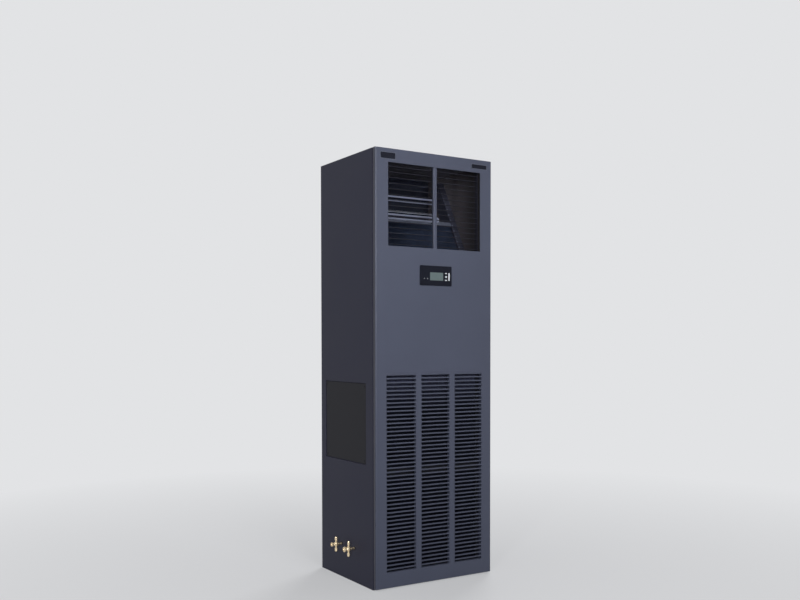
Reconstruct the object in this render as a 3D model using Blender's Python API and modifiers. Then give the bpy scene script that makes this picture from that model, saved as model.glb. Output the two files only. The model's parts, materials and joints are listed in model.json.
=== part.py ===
"""Computer room air conditioner: a slim floor-standing cabinet with a full-height service door.

Metres, +Z up. The origin is the centre of the cabinet's base on the floor, -Y is the front and
+X is the right-hand side as seen from the front. The door swings on pins along its right edge.
"""

import math

import bmesh
import bpy
from mathutils import Matrix, Vector

# Cabinet
CABINET_WIDTH = 0.600
CABINET_DEPTH = 0.500
CABINET_HEIGHT = 1.850
WALL = 0.020
SEAT = 0.0003
BASE_HEIGHT = 0.060
CORNER_RADIUS = 0.006
POST_WIDTH = 0.030
POST_DEPTH = 0.030
RAIL_HEIGHT = 0.026

# Front door, a folded sheet pan
DOOR_DEPTH = 0.018
DOOR_SHEET = 0.002
DOOR_LIP = 0.028
DOOR_SEAM = 0.006
DOOR_FLOOR_GAP = 0.006
DOOR_LINER = 0.012
HINGE_INSET = 0.008
HINGE_SETBACK = 0.011
HINGE_PIN_RADIUS = 0.0025
HINGE_RUNNING_GAP = 0.0006
HINGE_PIN_LENGTH = 0.014
HINGE_ARM_HEIGHT = 0.004
HINGE_ARM_WIDTH = 0.008
HINGE_ARM_NOSE = 0.004
HINGE_SOCKET_HEIGHT = 0.022
HINGE_SOCKET_SIDE = 0.0065
HINGE_SOCKET_NOSE = 0.0055
HINGE_SOCKET_SPARE = 0.002
HINGE_FROM_END = 0.110
HINGE_CLEARANCE = 0.006
HINGE_TOP_CLEARANCE = 0.00075
HINGE_NOTCH_SETBACK = 0.003
GASKET_INSET = 0.026
GASKET_WIDTH = 0.008
GASKET_RAISE = 0.010

# Outlet window at the top of the door
WINDOW_WIDTH = 0.475
WINDOW_HEIGHT = 0.347
WINDOW_HEAD_DROP = 0.057
WINDOW_LAP = 0.008
MULLION_WIDTH = 0.018
MULLION_DEPTH = 0.012
OUTLET_SHEET = 0.002
OUTLET_MARGIN = 0.0025
OUTLET_REACH = 0.045
OUTLET_FLANGE = 0.010
OUTLET_FLANGE_SHEET = 0.0015
BLADE_COUNT = 15
BLADE_CHORD = 0.022
BLADE_THICKNESS = 0.0016
BLADE_SETBACK = 0.020
BLADE_TILT = math.radians(4.0)
BLADE_STRIP = 0.0015
BLADE_NOSE = 0.0015

# Intake grille at the bottom of the door: three columns of sloping blades
INTAKE_COLUMNS = 3
INTAKE_COLUMN_WIDTH = 0.1485
INTAKE_POST = 0.0255
INTAKE_FOOT = 0.0704
INTAKE_BLADES = 49
INTAKE_PITCH = 0.01713
INTAKE_FRAME = 0.0016
INTAKE_DEPTH = 0.0145
INTAKE_LIP = 0.0055
INTAKE_DROP = 0.0045
INTAKE_BLADE_THICKNESS = 0.0014
INTAKE_BLADE_INSET = 0.0002
INTAKE_BLADE_BACK = 0.001
INTAKE_HEAD_INSET = 0.0012
INTAKE_RAIL_GAP = 0.006

# Display on the door
DISPLAY_WIDTH = 0.162
DISPLAY_HEIGHT = 0.085
DISPLAY_DROP = 0.117
DISPLAY_PLATE = 0.004
DISPLAY_RADIUS = 0.002
DISPLAY_BODY_MARGIN = 0.008
DISPLAY_BODY_DEPTH = 0.012
SCREEN_WIDTH = 0.073
SCREEN_HEIGHT = 0.036
SCREEN_OFFSET = 0.008
SCREEN_DROP = 0.003
SCREEN_DEPTH = 0.0012
KEYPAD_WIDTH = 0.031
KEYPAD_HEIGHT = 0.040
KEYPAD_OFFSET = 0.0625
KEYPAD_DEPTH = 0.0012

# Service cover on the left side
COVER_WIDTH = 0.366
COVER_HEIGHT = 0.342
COVER_FRONT = 0.086
COVER_FOOT = 0.525
COVER_RECESS = 0.006
COVER_PLATE = 0.004
COVER_REVEAL = 0.003
COVER_RADIUS = 0.001

# Service valves on the left side
VALVE_HEIGHT = 0.148
VALVE_SETBACKS = (0.187, 0.303)
VALVE_STANDOFF = 0.028
VALVE_BODY_RADIUS = 0.0085
VALVE_STEM_RADIUS = 0.0044
VALVE_CAP_RADIUS = 0.0064
VALVE_CAP_HEIGHT = 0.016
VALVE_HALF_HEIGHT = 0.034
VALVE_PIPE_RADIUS = 0.0052
VALVE_NUT_RADII = (0.0125, 0.0100)
VALVE_NUT_LENGTH = 0.009
VALVE_NECK_RADIUS = 0.0055
VALVE_NECK_LENGTH = 0.007
VALVE_CHAMFER = 0.002
VALVE_OVERLAP = 0.001

# Discharge plenum behind the window
LINER = 0.010
PLENUM_DROP = 0.013
COIL_FOOT_SETBACK = 0.1456
COIL_RISE = math.radians(62.0)
COIL_FACE_LENGTH = 0.164
COIL_THICKNESS = 0.050
COIL_FOOT_RISE = 0.003
COIL_LIP = 0.004
COIL_HEADER = 0.020
CHEEK_THICKNESS = 0.002
CHEEK_HEM = 0.012
CHEEK_DEPTH = 0.060
CHEEK_REAR_CLEARANCE = 0.022
CHEEK_HEAD_CLEARANCE = 0.030
CHEEK_INSET = 0.0347
HEATER_SETBACK = 0.100
HEATER_TUBE_RADIUS = 0.0042
HEATER_LEG_SPACING = 0.017
HEATER_RISES = (0.139, 0.216)
HEATER_REACHES = (0.385, 0.366)
HEATER_BEND_STEPS = 10
SENSOR_RISE = 0.0225
SENSOR_RADIUS = 0.0032
HEATER_PLATE = 0.003
HEATER_PLATE_WIDTH = 0.060
HEATER_PLATE_MARGIN = 0.035
TRAY_HEIGHT = 0.044
TRAY_REACH = 0.330
TRAY_SHEET = 0.002
TRAY_GAP = 0.004

# Air filters behind the intake grille
FILTER_DEPTH = 0.024
FILTER_GUIDE = 0.012
FILTER_PLEATS = 12
FILTER_PLEAT_DEPTH = 0.006
FILTER_PLEAT_LAND = 0.0005
FILTER_BORDER = 0.016
FILTER_SIDE_GAP = 0.004

# Electrical box between the filters and the plenum
ELECTRICS_DEPTH = 0.150
ELECTRICS_RADIUS = 0.002

# Shared by several pieces
INSIDE_GAP = 0.004
PANEL_RADIUS = 0.003
LINER_GAP = 0.002
OVERSHOOT = 0.010
ROUND_SEGMENTS = 16

# Places worked out from the sizes above
LEFT = -CABINET_WIDTH / 2
RIGHT = CABINET_WIDTH / 2
FRONT = -CABINET_DEPTH / 2
REAR = CABINET_DEPTH / 2
TOP = CABINET_HEIGHT
CARCASS_FRONT = FRONT + DOOR_DEPTH + DOOR_SEAM
INNER_LEFT = LEFT + WALL + SEAT
INNER_RIGHT = RIGHT - WALL - SEAT
INNER_REAR = REAR - WALL - SEAT
POST_REAR = CARCASS_FRONT + POST_DEPTH
WINDOW_LEFT = -WINDOW_WIDTH / 2
WINDOW_RIGHT = WINDOW_WIDTH / 2
WINDOW_TOP = TOP - WINDOW_HEAD_DROP
WINDOW_SILL = WINDOW_TOP - WINDOW_HEIGHT
SHEET_BACK = FRONT + DOOR_SHEET + SEAT
INTAKE_HEIGHT = INTAKE_BLADES * INTAKE_PITCH
INTAKE_TOP = INTAKE_FOOT + INTAKE_HEIGHT
INTAKE_RAIL_FOOT = INTAKE_TOP + INTAKE_RAIL_GAP
DISPLAY_CENTRE = WINDOW_SILL - DISPLAY_DROP
PLENUM_FLOOR = WINDOW_SILL - PLENUM_DROP
PLENUM_REAR = INNER_REAR - SEAT - LINER
PLENUM_HEAD = TOP - WALL - SEAT
COIL_FOOT_HEIGHT = PLENUM_FLOOR + COIL_FOOT_RISE
HEATER_HEIGHTS = tuple(WINDOW_SILL + rise for rise in HEATER_RISES)
TRAY_FOOT = PLENUM_FLOOR - TRAY_HEIGHT
HINGE_X = RIGHT - HINGE_INSET
HINGE_Y = FRONT + HINGE_SETBACK


def clear_scene():
    for item in list(bpy.data.objects):
        bpy.data.objects.remove(item, do_unlink=True)


def new_collection(name):
    collection = bpy.data.collections.new(name)
    bpy.context.scene.collection.children.link(collection)
    return collection


def principled(name, colour, roughness, metallic=0.0):
    material = bpy.data.materials.new(name)
    material.use_nodes = True
    shader = material.node_tree.nodes["Principled BSDF"]
    shader.inputs["Base Color"].default_value = (*colour, 1.0)
    shader.inputs["Roughness"].default_value = roughness
    shader.inputs["Metallic"].default_value = metallic
    return material


clear_scene()
PARTS = new_collection("computer_room_air_conditioner")
CUTTERS = new_collection("cutters")
PAINT = principled("blue_grey_paint", (0.080, 0.093, 0.136), 0.45)
COVER_PAINT = principled("dark_grey_paint", (0.030, 0.031, 0.034), 0.5)
BLACK_PLASTIC = principled("black_plastic", (0.012, 0.012, 0.013), 0.35)
SCREEN_GLASS = principled("grey_green_screen", (0.115, 0.165, 0.155), 0.2)
KEY_PLASTIC = principled("black_key", (0.02, 0.02, 0.022), 0.4)
BRASS = principled("brass", (0.78, 0.57, 0.27), 0.25, 1.0)
STEEL = principled("heater_steel", (0.62, 0.62, 0.64), 0.25, 1.0)
ZINC = principled("zinc_sheet", (0.33, 0.36, 0.38), 0.45, 0.8)
FIN_ALUMINIUM = principled("dark_coated_fins", (0.03, 0.04, 0.07), 0.5, 0.3)
FOAM = principled("brown_grey_foam", (0.060, 0.055, 0.052), 0.9)
GASKET_RUBBER = principled("gasket_rubber", (0.015, 0.015, 0.015), 0.8)
DARK_STEEL = principled("dark_sheet", (0.020, 0.020, 0.025), 0.6, 0.2)
FILTER_MEDIA = principled("filter_media", (0.020, 0.019, 0.026), 0.95)


def finish(thing, material, collection=None):
    """Give an object its material and put it in its collection."""
    for owner in list(thing.users_collection):
        owner.objects.unlink(thing)
    (collection or PARTS).objects.link(thing)
    thing.data.materials.clear()
    thing.data.materials.append(material)
    return thing


def as_cutter(thing):
    """Mark a mesh object as a cutting tool that is not part of the model."""
    for owner in list(thing.users_collection):
        owner.objects.unlink(thing)
    CUTTERS.objects.link(thing)
    thing.hide_render = True
    thing.display_type = "WIRE"
    return thing


def block(name, low, high, material, radius=0.0, rounded=None, segments=3):
    """A box between two corners. Edges that rounded(middle, direction) picks are bevelled."""
    low, high = Vector(low), Vector(high)
    centre, size = (low + high) / 2, high - low
    shape = bmesh.new()
    bmesh.ops.create_cube(shape, size=1.0, matrix=Matrix.Diagonal((*size, 1.0)))
    if radius > 0.0 and rounded is not None:
        edges = []
        for edge in shape.edges:
            middle = (edge.verts[0].co + edge.verts[1].co) / 2
            direction = (edge.verts[1].co - edge.verts[0].co).normalized()
            if rounded(middle, direction):
                edges.append(edge)
        bmesh.ops.bevel(shape, geom=edges, offset=radius, segments=segments,
                        affect="EDGES", profile=0.5)
    mesh = bpy.data.meshes.new(name)
    shape.to_mesh(mesh)
    shape.free()
    thing = bpy.data.objects.new(name, mesh)
    thing.location = centre
    PARTS.objects.link(thing)
    return finish(thing, material)


def upright_front(middle, direction):
    """The two vertical edges at the front of a box."""
    return abs(direction.z) > 0.9 and middle.y < 0


def upright_left(middle, direction):
    """The two vertical edges on the left of a box."""
    return abs(direction.z) > 0.9 and middle.x < 0


def upright_right(middle, direction):
    """The two vertical edges on the right of a box."""
    return abs(direction.z) > 0.9 and middle.x > 0


def front_face_edges(middle, direction):
    """The four edges round the front face of a box."""
    return middle.y < 0 and abs(direction.y) < 0.1


def left_face_edges(middle, direction):
    """The four edges round the left face of a box."""
    return middle.x < 0 and abs(direction.x) < 0.1


def rod(name, start, end, radius, material, segments=ROUND_SEGMENTS):
    """A solid round bar between two points."""
    start, end = Vector(start), Vector(end)
    along = end - start
    bpy.ops.mesh.primitive_cylinder_add(vertices=segments, radius=radius, depth=along.length,
                                        location=(start + end) / 2)
    thing = bpy.context.object
    thing.name = name
    thing.rotation_euler = along.to_track_quat("Z", "Y").to_euler()
    finish(thing, material)
    thing.data.shade_smooth()
    thing.data.set_sharp_from_angle(angle=math.radians(35))
    return thing


def turned(name, profile, origin, axis, material, steps=ROUND_SEGMENTS):
    """A solid of revolution. The profile runs (radius, height) from the top down its outside."""
    mesh = bpy.data.meshes.new(name)
    points = [(radius, 0.0, height) for radius, height in profile]
    mesh.from_pydata(points, [(i, i + 1) for i in range(len(points) - 1)], [])
    thing = bpy.data.objects.new(name, mesh)
    PARTS.objects.link(thing)
    thing.location = origin
    thing.rotation_euler = Vector(axis).to_track_quat("Z", "Y").to_euler()
    screw = thing.modifiers.new("turn", "SCREW")
    screw.steps = steps
    screw.render_steps = steps
    screw.use_merge_vertices = True
    screw.merge_threshold = 0.00005
    screw.use_smooth_shade = True
    return finish(thing, material)


def modifier_mesh(thing):
    """Turn an object with modifiers, or a curve, into a plain mesh object with the same name."""
    depsgraph = bpy.context.evaluated_depsgraph_get()
    depsgraph.update()
    mesh = bpy.data.meshes.new_from_object(thing.evaluated_get(depsgraph))
    shape = bmesh.new()
    shape.from_mesh(mesh)
    bmesh.ops.remove_doubles(shape, verts=shape.verts, dist=0.00005)
    bmesh.ops.recalc_face_normals(shape, faces=shape.faces)
    shape.to_mesh(mesh)
    shape.free()
    name, matrix, material = thing.name, thing.matrix_world.copy(), thing.data.materials[0]
    bpy.data.objects.remove(thing, do_unlink=True)
    solid = bpy.data.objects.new(name, mesh)
    solid.matrix_world = matrix
    PARTS.objects.link(solid)
    return finish(solid, material)


def boolean(target, tool, operation="DIFFERENCE"):
    """Cut a tool out of a target, or join it on, and keep the tool in the cutters' collection."""
    as_cutter(tool)
    step = target.modifiers.new(operation.lower(), "BOOLEAN")
    step.operation = operation
    step.solver = "EXACT"
    step.object = tool
    return target


def plate_outline(name, points, thickness, material):
    """A flat plate from an outline in its own XY plane, centred on that plane."""
    curve = bpy.data.curves.new(name, "CURVE")
    curve.dimensions = "2D"
    curve.fill_mode = "BOTH"
    curve.extrude = thickness / 2
    spline = curve.splines.new("POLY")
    spline.points.add(len(points) - 1)
    for point, (x, y) in zip(spline.points, points):
        point.co = (x, y, 0.0, 1.0)
    spline.use_cyclic_u = True
    thing = bpy.data.objects.new(name, curve)
    PARTS.objects.link(thing)
    return finish(thing, material)


def section_bar(name, section, start_x, end_x, origin, material):
    """A bar that runs across the cabinet with a (depth, height) section, placed at origin."""
    bar = plate_outline(name, section, end_x - start_x, material)
    turn = Matrix(((0, 0, 1), (1, 0, 0), (0, 1, 0))).to_4x4()
    middle = Vector(((start_x + end_x) / 2, origin[0], origin[1]))
    bar.matrix_world = Matrix.Translation(middle) @ turn
    bpy.context.view_layer.update()
    return modifier_mesh(bar)


def bars(name, section, low_x, high_x, levels, material):
    """Parallel bars across the cabinet with one (y, height) section, a bar at each level."""
    shape = bmesh.new()
    for level in levels:
        ends = []
        for x in (low_x, high_x):
            ends.append([shape.verts.new((x, y, level + z)) for y, z in section])
        shape.faces.new(ends[0])
        shape.faces.new(ends[1][::-1])
        for corner in range(len(section)):
            follow = (corner + 1) % len(section)
            shape.faces.new((ends[0][follow], ends[0][corner], ends[1][corner], ends[1][follow]))
    bmesh.ops.recalc_face_normals(shape, faces=shape.faces)
    mesh = bpy.data.meshes.new(name)
    shape.to_mesh(mesh)
    shape.free()
    thing = bpy.data.objects.new(name, mesh)
    PARTS.objects.link(thing)
    return finish(thing, material)


def joined(name, pieces, material):
    """Fuse overlapping mesh objects into one solid with Boolean unions."""
    first = pieces[0]
    first.name = name
    for piece in pieces[1:]:
        boolean(first, piece, "UNION")
    return finish(first, material)


def depth(distance):
    """World Y of a point that lies a distance behind the door's front face."""
    return FRONT + distance


# Cabinet body

def base_frame():
    """Closed plinth box that the whole unit stands on."""
    low = (INNER_LEFT, CARCASS_FRONT, 0.0)
    high = (INNER_RIGHT, INNER_REAR, BASE_HEIGHT)
    return block("base_frame", low, high, DARK_STEEL)


def side_panel_left():
    """Insulated side panel with a recess for the service cover and holes for the valve pipes."""
    panel = block("side_panel_left", (LEFT, CARCASS_FRONT, 0.0), (LEFT + WALL, REAR, TOP), PAINT,
                  PANEL_RADIUS, upright_left)
    low = (LEFT - OVERSHOOT, depth(COVER_FRONT) - COVER_REVEAL, COVER_FOOT - COVER_REVEAL)
    high = (LEFT + COVER_RECESS, depth(COVER_FRONT + COVER_WIDTH) + COVER_REVEAL,
            COVER_FOOT + COVER_HEIGHT + COVER_REVEAL)
    boolean(panel, block("cut_cover_recess", low, high, PAINT))
    for index, setback in enumerate(VALVE_SETBACKS):
        start = (LEFT - OVERSHOOT, depth(setback), VALVE_HEIGHT)
        end = (LEFT + WALL + OVERSHOOT, depth(setback), VALVE_HEIGHT)
        boolean(panel, rod(f"cut_pipe_{index}", start, end, VALVE_PIPE_RADIUS + SEAT, PAINT))
    return panel


def side_panel_right():
    return block("side_panel_right", (RIGHT - WALL, CARCASS_FRONT, 0.0), (RIGHT, REAR, TOP), PAINT,
                 PANEL_RADIUS, upright_right)


def rear_panel():
    return block("rear_panel", (INNER_LEFT, REAR - WALL, 0.0),
                 (INNER_RIGHT, REAR, TOP - WALL - SEAT), PAINT)


def top_panel():
    return block("top_panel", (INNER_LEFT, CARCASS_FRONT, TOP - WALL), (INNER_RIGHT, REAR, TOP), PAINT)


def front_posts():
    """Two upright posts that the door closes against."""
    foot, head = BASE_HEIGHT + SEAT, TOP - WALL - SEAT
    block("front_post_left", (INNER_LEFT, CARCASS_FRONT, foot),
          (INNER_LEFT + POST_WIDTH, POST_REAR, head), PAINT)
    block("front_post_right", (INNER_RIGHT - POST_WIDTH, CARCASS_FRONT, foot),
          (INNER_RIGHT, POST_REAR, head), PAINT)


def cross_rail(name, foot, height):
    """A rail between the two front posts."""
    low = (INNER_LEFT + POST_WIDTH + SEAT, CARCASS_FRONT, foot)
    high = (INNER_RIGHT - POST_WIDTH - SEAT, POST_REAR, foot + height)
    return block(name, low, high, PAINT)


def front_rails():
    cross_rail("top_rail", TOP - WALL - SEAT - RAIL_HEIGHT, RAIL_HEIGHT)
    cross_rail("outlet_sill_rail", PLENUM_FLOOR - RAIL_HEIGHT, RAIL_HEIGHT)
    cross_rail("intake_head_rail", INTAKE_RAIL_FOOT, RAIL_HEIGHT)


def door_gasket():
    """Rubber ring on the front posts that the closed door rests against."""
    outer = GASKET_INSET - GASKET_WIDTH
    low = (LEFT + outer, depth(DOOR_DEPTH) + SEAT, outer + GASKET_RAISE)
    high = (RIGHT - outer, CARCASS_FRONT - SEAT, TOP - outer)
    ring = block("door_gasket", low, high, GASKET_RUBBER)
    low = (LEFT + GASKET_INSET, depth(DOOR_DEPTH) - OVERSHOOT, GASKET_INSET + GASKET_RAISE)
    high = (RIGHT - GASKET_INSET, CARCASS_FRONT + OVERSHOOT, TOP - GASKET_INSET)
    return boolean(ring, block("cut_gasket", low, high, GASKET_RUBBER))


def hinge_arm(name, height):
    """Fixed arm on the right side panel's front edge with an upright pin for the door."""
    low = (HINGE_X - HINGE_ARM_WIDTH / 2, HINGE_Y - HINGE_ARM_NOSE, height)
    high = (HINGE_X + HINGE_ARM_WIDTH / 2, CARCASS_FRONT - SEAT, height + HINGE_ARM_HEIGHT)
    arm = block(name, low, high, ZINC)
    start = (HINGE_X, HINGE_Y, height + HINGE_ARM_HEIGHT / 2)
    end = (HINGE_X, HINGE_Y, height + HINGE_ARM_HEIGHT + HINGE_PIN_LENGTH)
    return joined(name, [arm, rod(name + "_pin", start, end, HINGE_PIN_RADIUS, ZINC)], ZINC)


def hinge_heights():
    return {"lower": HINGE_FROM_END, "upper": TOP - HINGE_FROM_END}


def service_cover():
    """Plate screwed into the recess of the left side panel."""
    low = (LEFT + COVER_RECESS - SEAT - COVER_PLATE, depth(COVER_FRONT), COVER_FOOT)
    high = (LEFT + COVER_RECESS - SEAT, depth(COVER_FRONT + COVER_WIDTH), COVER_FOOT + COVER_HEIGHT)
    return block("service_cover", low, high, COVER_PAINT, COVER_RADIUS, left_face_edges, 2)


# Service valves

def valve(name, setback, nut_radius):
    """Brass shut-off valve on a pipe through the side: upright body, pipe and union nut."""
    x, y, z = LEFT - VALVE_STANDOFF, depth(setback), VALVE_HEIGHT
    cap_foot = VALVE_HALF_HEIGHT - VALVE_CAP_HEIGHT
    upper = [(0.0, VALVE_HALF_HEIGHT),
             (VALVE_CAP_RADIUS - VALVE_CHAMFER, VALVE_HALF_HEIGHT),
             (VALVE_CAP_RADIUS, VALVE_HALF_HEIGHT - VALVE_CHAMFER),
             (VALVE_CAP_RADIUS, cap_foot),
             (VALVE_STEM_RADIUS, cap_foot),
             (VALVE_STEM_RADIUS, VALVE_BODY_RADIUS + VALVE_CHAMFER),
             (VALVE_BODY_RADIUS, VALVE_BODY_RADIUS - VALVE_CHAMFER)]
    lower = [(radius, -height) for radius, height in reversed(upper)]
    body = modifier_mesh(turned(name, upper + lower, (x, y, z), (0, 0, 1), BRASS))
    neck_end = x - VALVE_BODY_RADIUS - VALVE_NECK_LENGTH
    neck = rod(name + "_neck", (x, y, z), (neck_end, y, z), VALVE_NECK_RADIUS, BRASS)
    pipe = rod(name + "_pipe", (x, y, z), (LEFT + WALL, y, z), VALVE_PIPE_RADIUS, BRASS)
    nut = rod(name + "_nut", (neck_end + VALVE_OVERLAP, y, z), (neck_end - VALVE_NUT_LENGTH, y, z),
              nut_radius, BRASS, 6)
    return joined(name, [body, neck, pipe, nut], BRASS)


def valves():
    names = ("front_service_valve", "rear_service_valve")
    for name, setback, nut_radius in zip(names, VALVE_SETBACKS, VALVE_NUT_RADII):
        valve(name, setback, nut_radius)


# Discharge plenum

def plenum_liners():
    """Insulation on the inner walls behind the window."""
    foot, head = PLENUM_FLOOR, PLENUM_HEAD
    front, rear = POST_REAR + SEAT, PLENUM_REAR - SEAT
    block("plenum_liner_left", (INNER_LEFT, front, foot), (INNER_LEFT + LINER, rear, head), FOAM)
    block("plenum_liner_right", (INNER_RIGHT - LINER, front, foot), (INNER_RIGHT, rear, head), FOAM)
    block("plenum_liner_rear", (INNER_LEFT, PLENUM_REAR, foot), (INNER_RIGHT, INNER_REAR, head), FOAM)


def cheek_length():
    """Length of a cheek plate up the coil's slope, to the nearer of the rear liner and the ceiling."""
    run = PLENUM_REAR - depth(COIL_FOOT_SETBACK) - CHEEK_DEPTH * math.sin(COIL_RISE)
    rise = PLENUM_HEAD - COIL_FOOT_HEIGHT - COIL_LIP * math.cos(COIL_RISE)
    return min((run - CHEEK_REAR_CLEARANCE) / math.cos(COIL_RISE),
               (rise - CHEEK_HEAD_CLEARANCE) / math.sin(COIL_RISE))


def coil_frame_matrix():
    """Frame with X across, Y up the coil's front face and Z out of that face, at its foot."""
    up_face = Vector((0.0, math.cos(COIL_RISE), math.sin(COIL_RISE)))
    across = Vector((1.0, 0.0, 0.0))
    out = across.cross(up_face)
    turn = Matrix((across, up_face, out)).transposed().to_4x4()
    foot = Vector((0.0, depth(COIL_FOOT_SETBACK), COIL_FOOT_HEIGHT))
    return Matrix.Translation(foot) @ turn


def on_coil(thing):
    """Move an object from the coil's own frame to its place in the cabinet."""
    thing.matrix_world = coil_frame_matrix() @ Matrix.Translation(thing.location)
    return thing


def coil():
    """Inclined cooling coil, its top casing and the cheek plates that carry it."""
    cheek_x = INNER_RIGHT - LINER - CHEEK_INSET
    half = cheek_x - SEAT
    on_coil(block("coil_block", (-half, 0.0, -COIL_THICKNESS), (half, COIL_FACE_LENGTH, 0.0),
                  FIN_ALUMINIUM))
    on_coil(block("coil_header", (-half, COIL_FACE_LENGTH + SEAT, -COIL_THICKNESS),
                  (half, COIL_FACE_LENGTH + SEAT + COIL_HEADER, COIL_LIP), ZINC))
    length = cheek_length()
    for name, side in (("coil_cheek_left", -1), ("coil_cheek_right", 1)):
        wall_x = cheek_x + CHEEK_INSET - SEAT
        face = COIL_LIP - CHEEK_THICKNESS
        sheets = []
        for sheet, reach, back, front in (("web", CHEEK_THICKNESS, -CHEEK_DEPTH, COIL_LIP),
                                          ("hem", CHEEK_HEM, face - CHEEK_THICKNESS / 2, COIL_LIP),
                                          ("flange", wall_x - cheek_x, face - CHEEK_THICKNESS, face)):
            inner, outer = side * cheek_x, side * (cheek_x + reach)
            sheets.append(on_coil(block(f"{name}_{sheet}", (min(inner, outer), 0.0, back),
                                        (max(inner, outer), length, front), ZINC)))
        joined(name, sheets, ZINC)


def drip_tray():
    """Open tray under the coil that stands on the electrical box."""
    low = Vector((INNER_LEFT + LINER + SEAT, POST_REAR + TRAY_GAP, TRAY_FOOT))
    high = Vector((INNER_RIGHT - LINER - SEAT, depth(TRAY_REACH), PLENUM_FLOOR))
    tray = block("drip_tray", low, high, ZINC)
    wall = Vector((TRAY_SHEET, TRAY_SHEET, TRAY_SHEET))
    rim = Vector((-TRAY_SHEET, -TRAY_SHEET, OVERSHOOT))
    return boolean(tray, block("cut_drip_tray", low + wall, high + rim, ZINC))


def hairpin(name, height, reach):
    """U-shaped tubular heater that reaches in from the left wall."""
    curve = bpy.data.curves.new(name, "CURVE")
    curve.dimensions = "3D"
    curve.bevel_depth = HEATER_TUBE_RADIUS
    curve.bevel_resolution = 2
    curve.use_fill_caps = True
    start = INNER_LEFT + LINER + HEATER_PLATE + SEAT
    bend = HEATER_LEG_SPACING / 2
    turn_x = LEFT + reach - bend - HEATER_TUBE_RADIUS
    y = depth(HEATER_SETBACK)
    points = [(start, y, height + bend), (turn_x, y, height + bend)]
    for step in range(1, HEATER_BEND_STEPS):
        angle = math.pi / 2 - math.pi * step / HEATER_BEND_STEPS
        points.append((turn_x + bend * math.cos(angle), y, height + bend * math.sin(angle)))
    points += [(turn_x, y, height - bend), (start, y, height - bend)]
    spline = curve.splines.new("POLY")
    spline.points.add(len(points) - 1)
    for point, place in zip(spline.points, points):
        point.co = (*place, 1.0)
    thing = bpy.data.objects.new(name, curve)
    PARTS.objects.link(thing)
    finish(thing, STEEL)
    return modifier_mesh(thing)


def heaters():
    """Two tubular reheat elements with their sensor tube and terminal plate."""
    for name, height, reach in zip(("heater_lower", "heater_upper"), HEATER_HEIGHTS, HEATER_REACHES):
        hairpin(name, height, reach)
    start = INNER_LEFT + LINER + HEATER_PLATE + SEAT
    y, height = depth(HEATER_SETBACK), HEATER_HEIGHTS[0] + SENSOR_RISE
    rod("heater_sensor_tube", (start, y, height), (LEFT + HEATER_REACHES[1], y, height),
        SENSOR_RADIUS, ZINC, 12)
    half = HEATER_PLATE_WIDTH / 2
    low = (INNER_LEFT + LINER + SEAT, y - half, HEATER_HEIGHTS[0] - HEATER_PLATE_MARGIN)
    high = (INNER_LEFT + LINER + HEATER_PLATE, y + half, HEATER_HEIGHTS[1] + HEATER_PLATE_MARGIN)
    block("heater_terminal_plate", low, high, ZINC)


# Middle and lower compartments

def electrics_box():
    """Closed electrical box behind the display, under the drip tray."""
    side = INNER_RIGHT - POST_WIDTH - SEAT
    front = CARCASS_FRONT + INSIDE_GAP
    return block("electrics_box", (-side, front, INTAKE_RAIL_FOOT + RAIL_HEIGHT + SEAT),
                 (side, front + ELECTRICS_DEPTH, TRAY_FOOT - SEAT), ZINC, ELECTRICS_RADIUS,
                 front_face_edges, 2)


def air_filter(name, foot, head, front):
    """Framed filter cassette with a pleated face."""
    side = INNER_RIGHT - POST_WIDTH - FILTER_SIDE_GAP
    frame = block(name, (-side, front, foot), (side, front + FILTER_DEPTH, head), FILTER_MEDIA)
    inner = side - FILTER_BORDER
    pitch = (head - foot - 2 * FILTER_BORDER) / FILTER_PLEATS
    section = [(-FILTER_PLEAT_DEPTH / 3, -FILTER_PLEAT_LAND), (FILTER_PLEAT_DEPTH, pitch / 2),
               (-FILTER_PLEAT_DEPTH / 3, pitch - FILTER_PLEAT_LAND)]
    for index in range(FILTER_PLEATS):
        low_z = foot + FILTER_BORDER + pitch * index
        groove = section_bar(f"cut_{name}_{index}", section, -inner, inner, (front, low_z), FILTER_MEDIA)
        boolean(frame, groove)
    return frame


def air_filters():
    """Two filter cassettes one above the other with the guide between them."""
    foot = BASE_HEIGHT + SEAT
    head = INTAKE_RAIL_FOOT - SEAT
    each = (head - foot - FILTER_GUIDE) / 2 - SEAT
    front = CARCASS_FRONT + INSIDE_GAP
    air_filter("air_filter_lower", foot, foot + each, front)
    air_filter("air_filter_upper", head - each, head, front)
    side = INNER_RIGHT - POST_WIDTH - SEAT
    guide_foot = foot + each + SEAT
    block("filter_guide", (-side, front, guide_foot),
          (side, front + FILTER_DEPTH, guide_foot + FILTER_GUIDE), DARK_STEEL)


# Door

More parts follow.
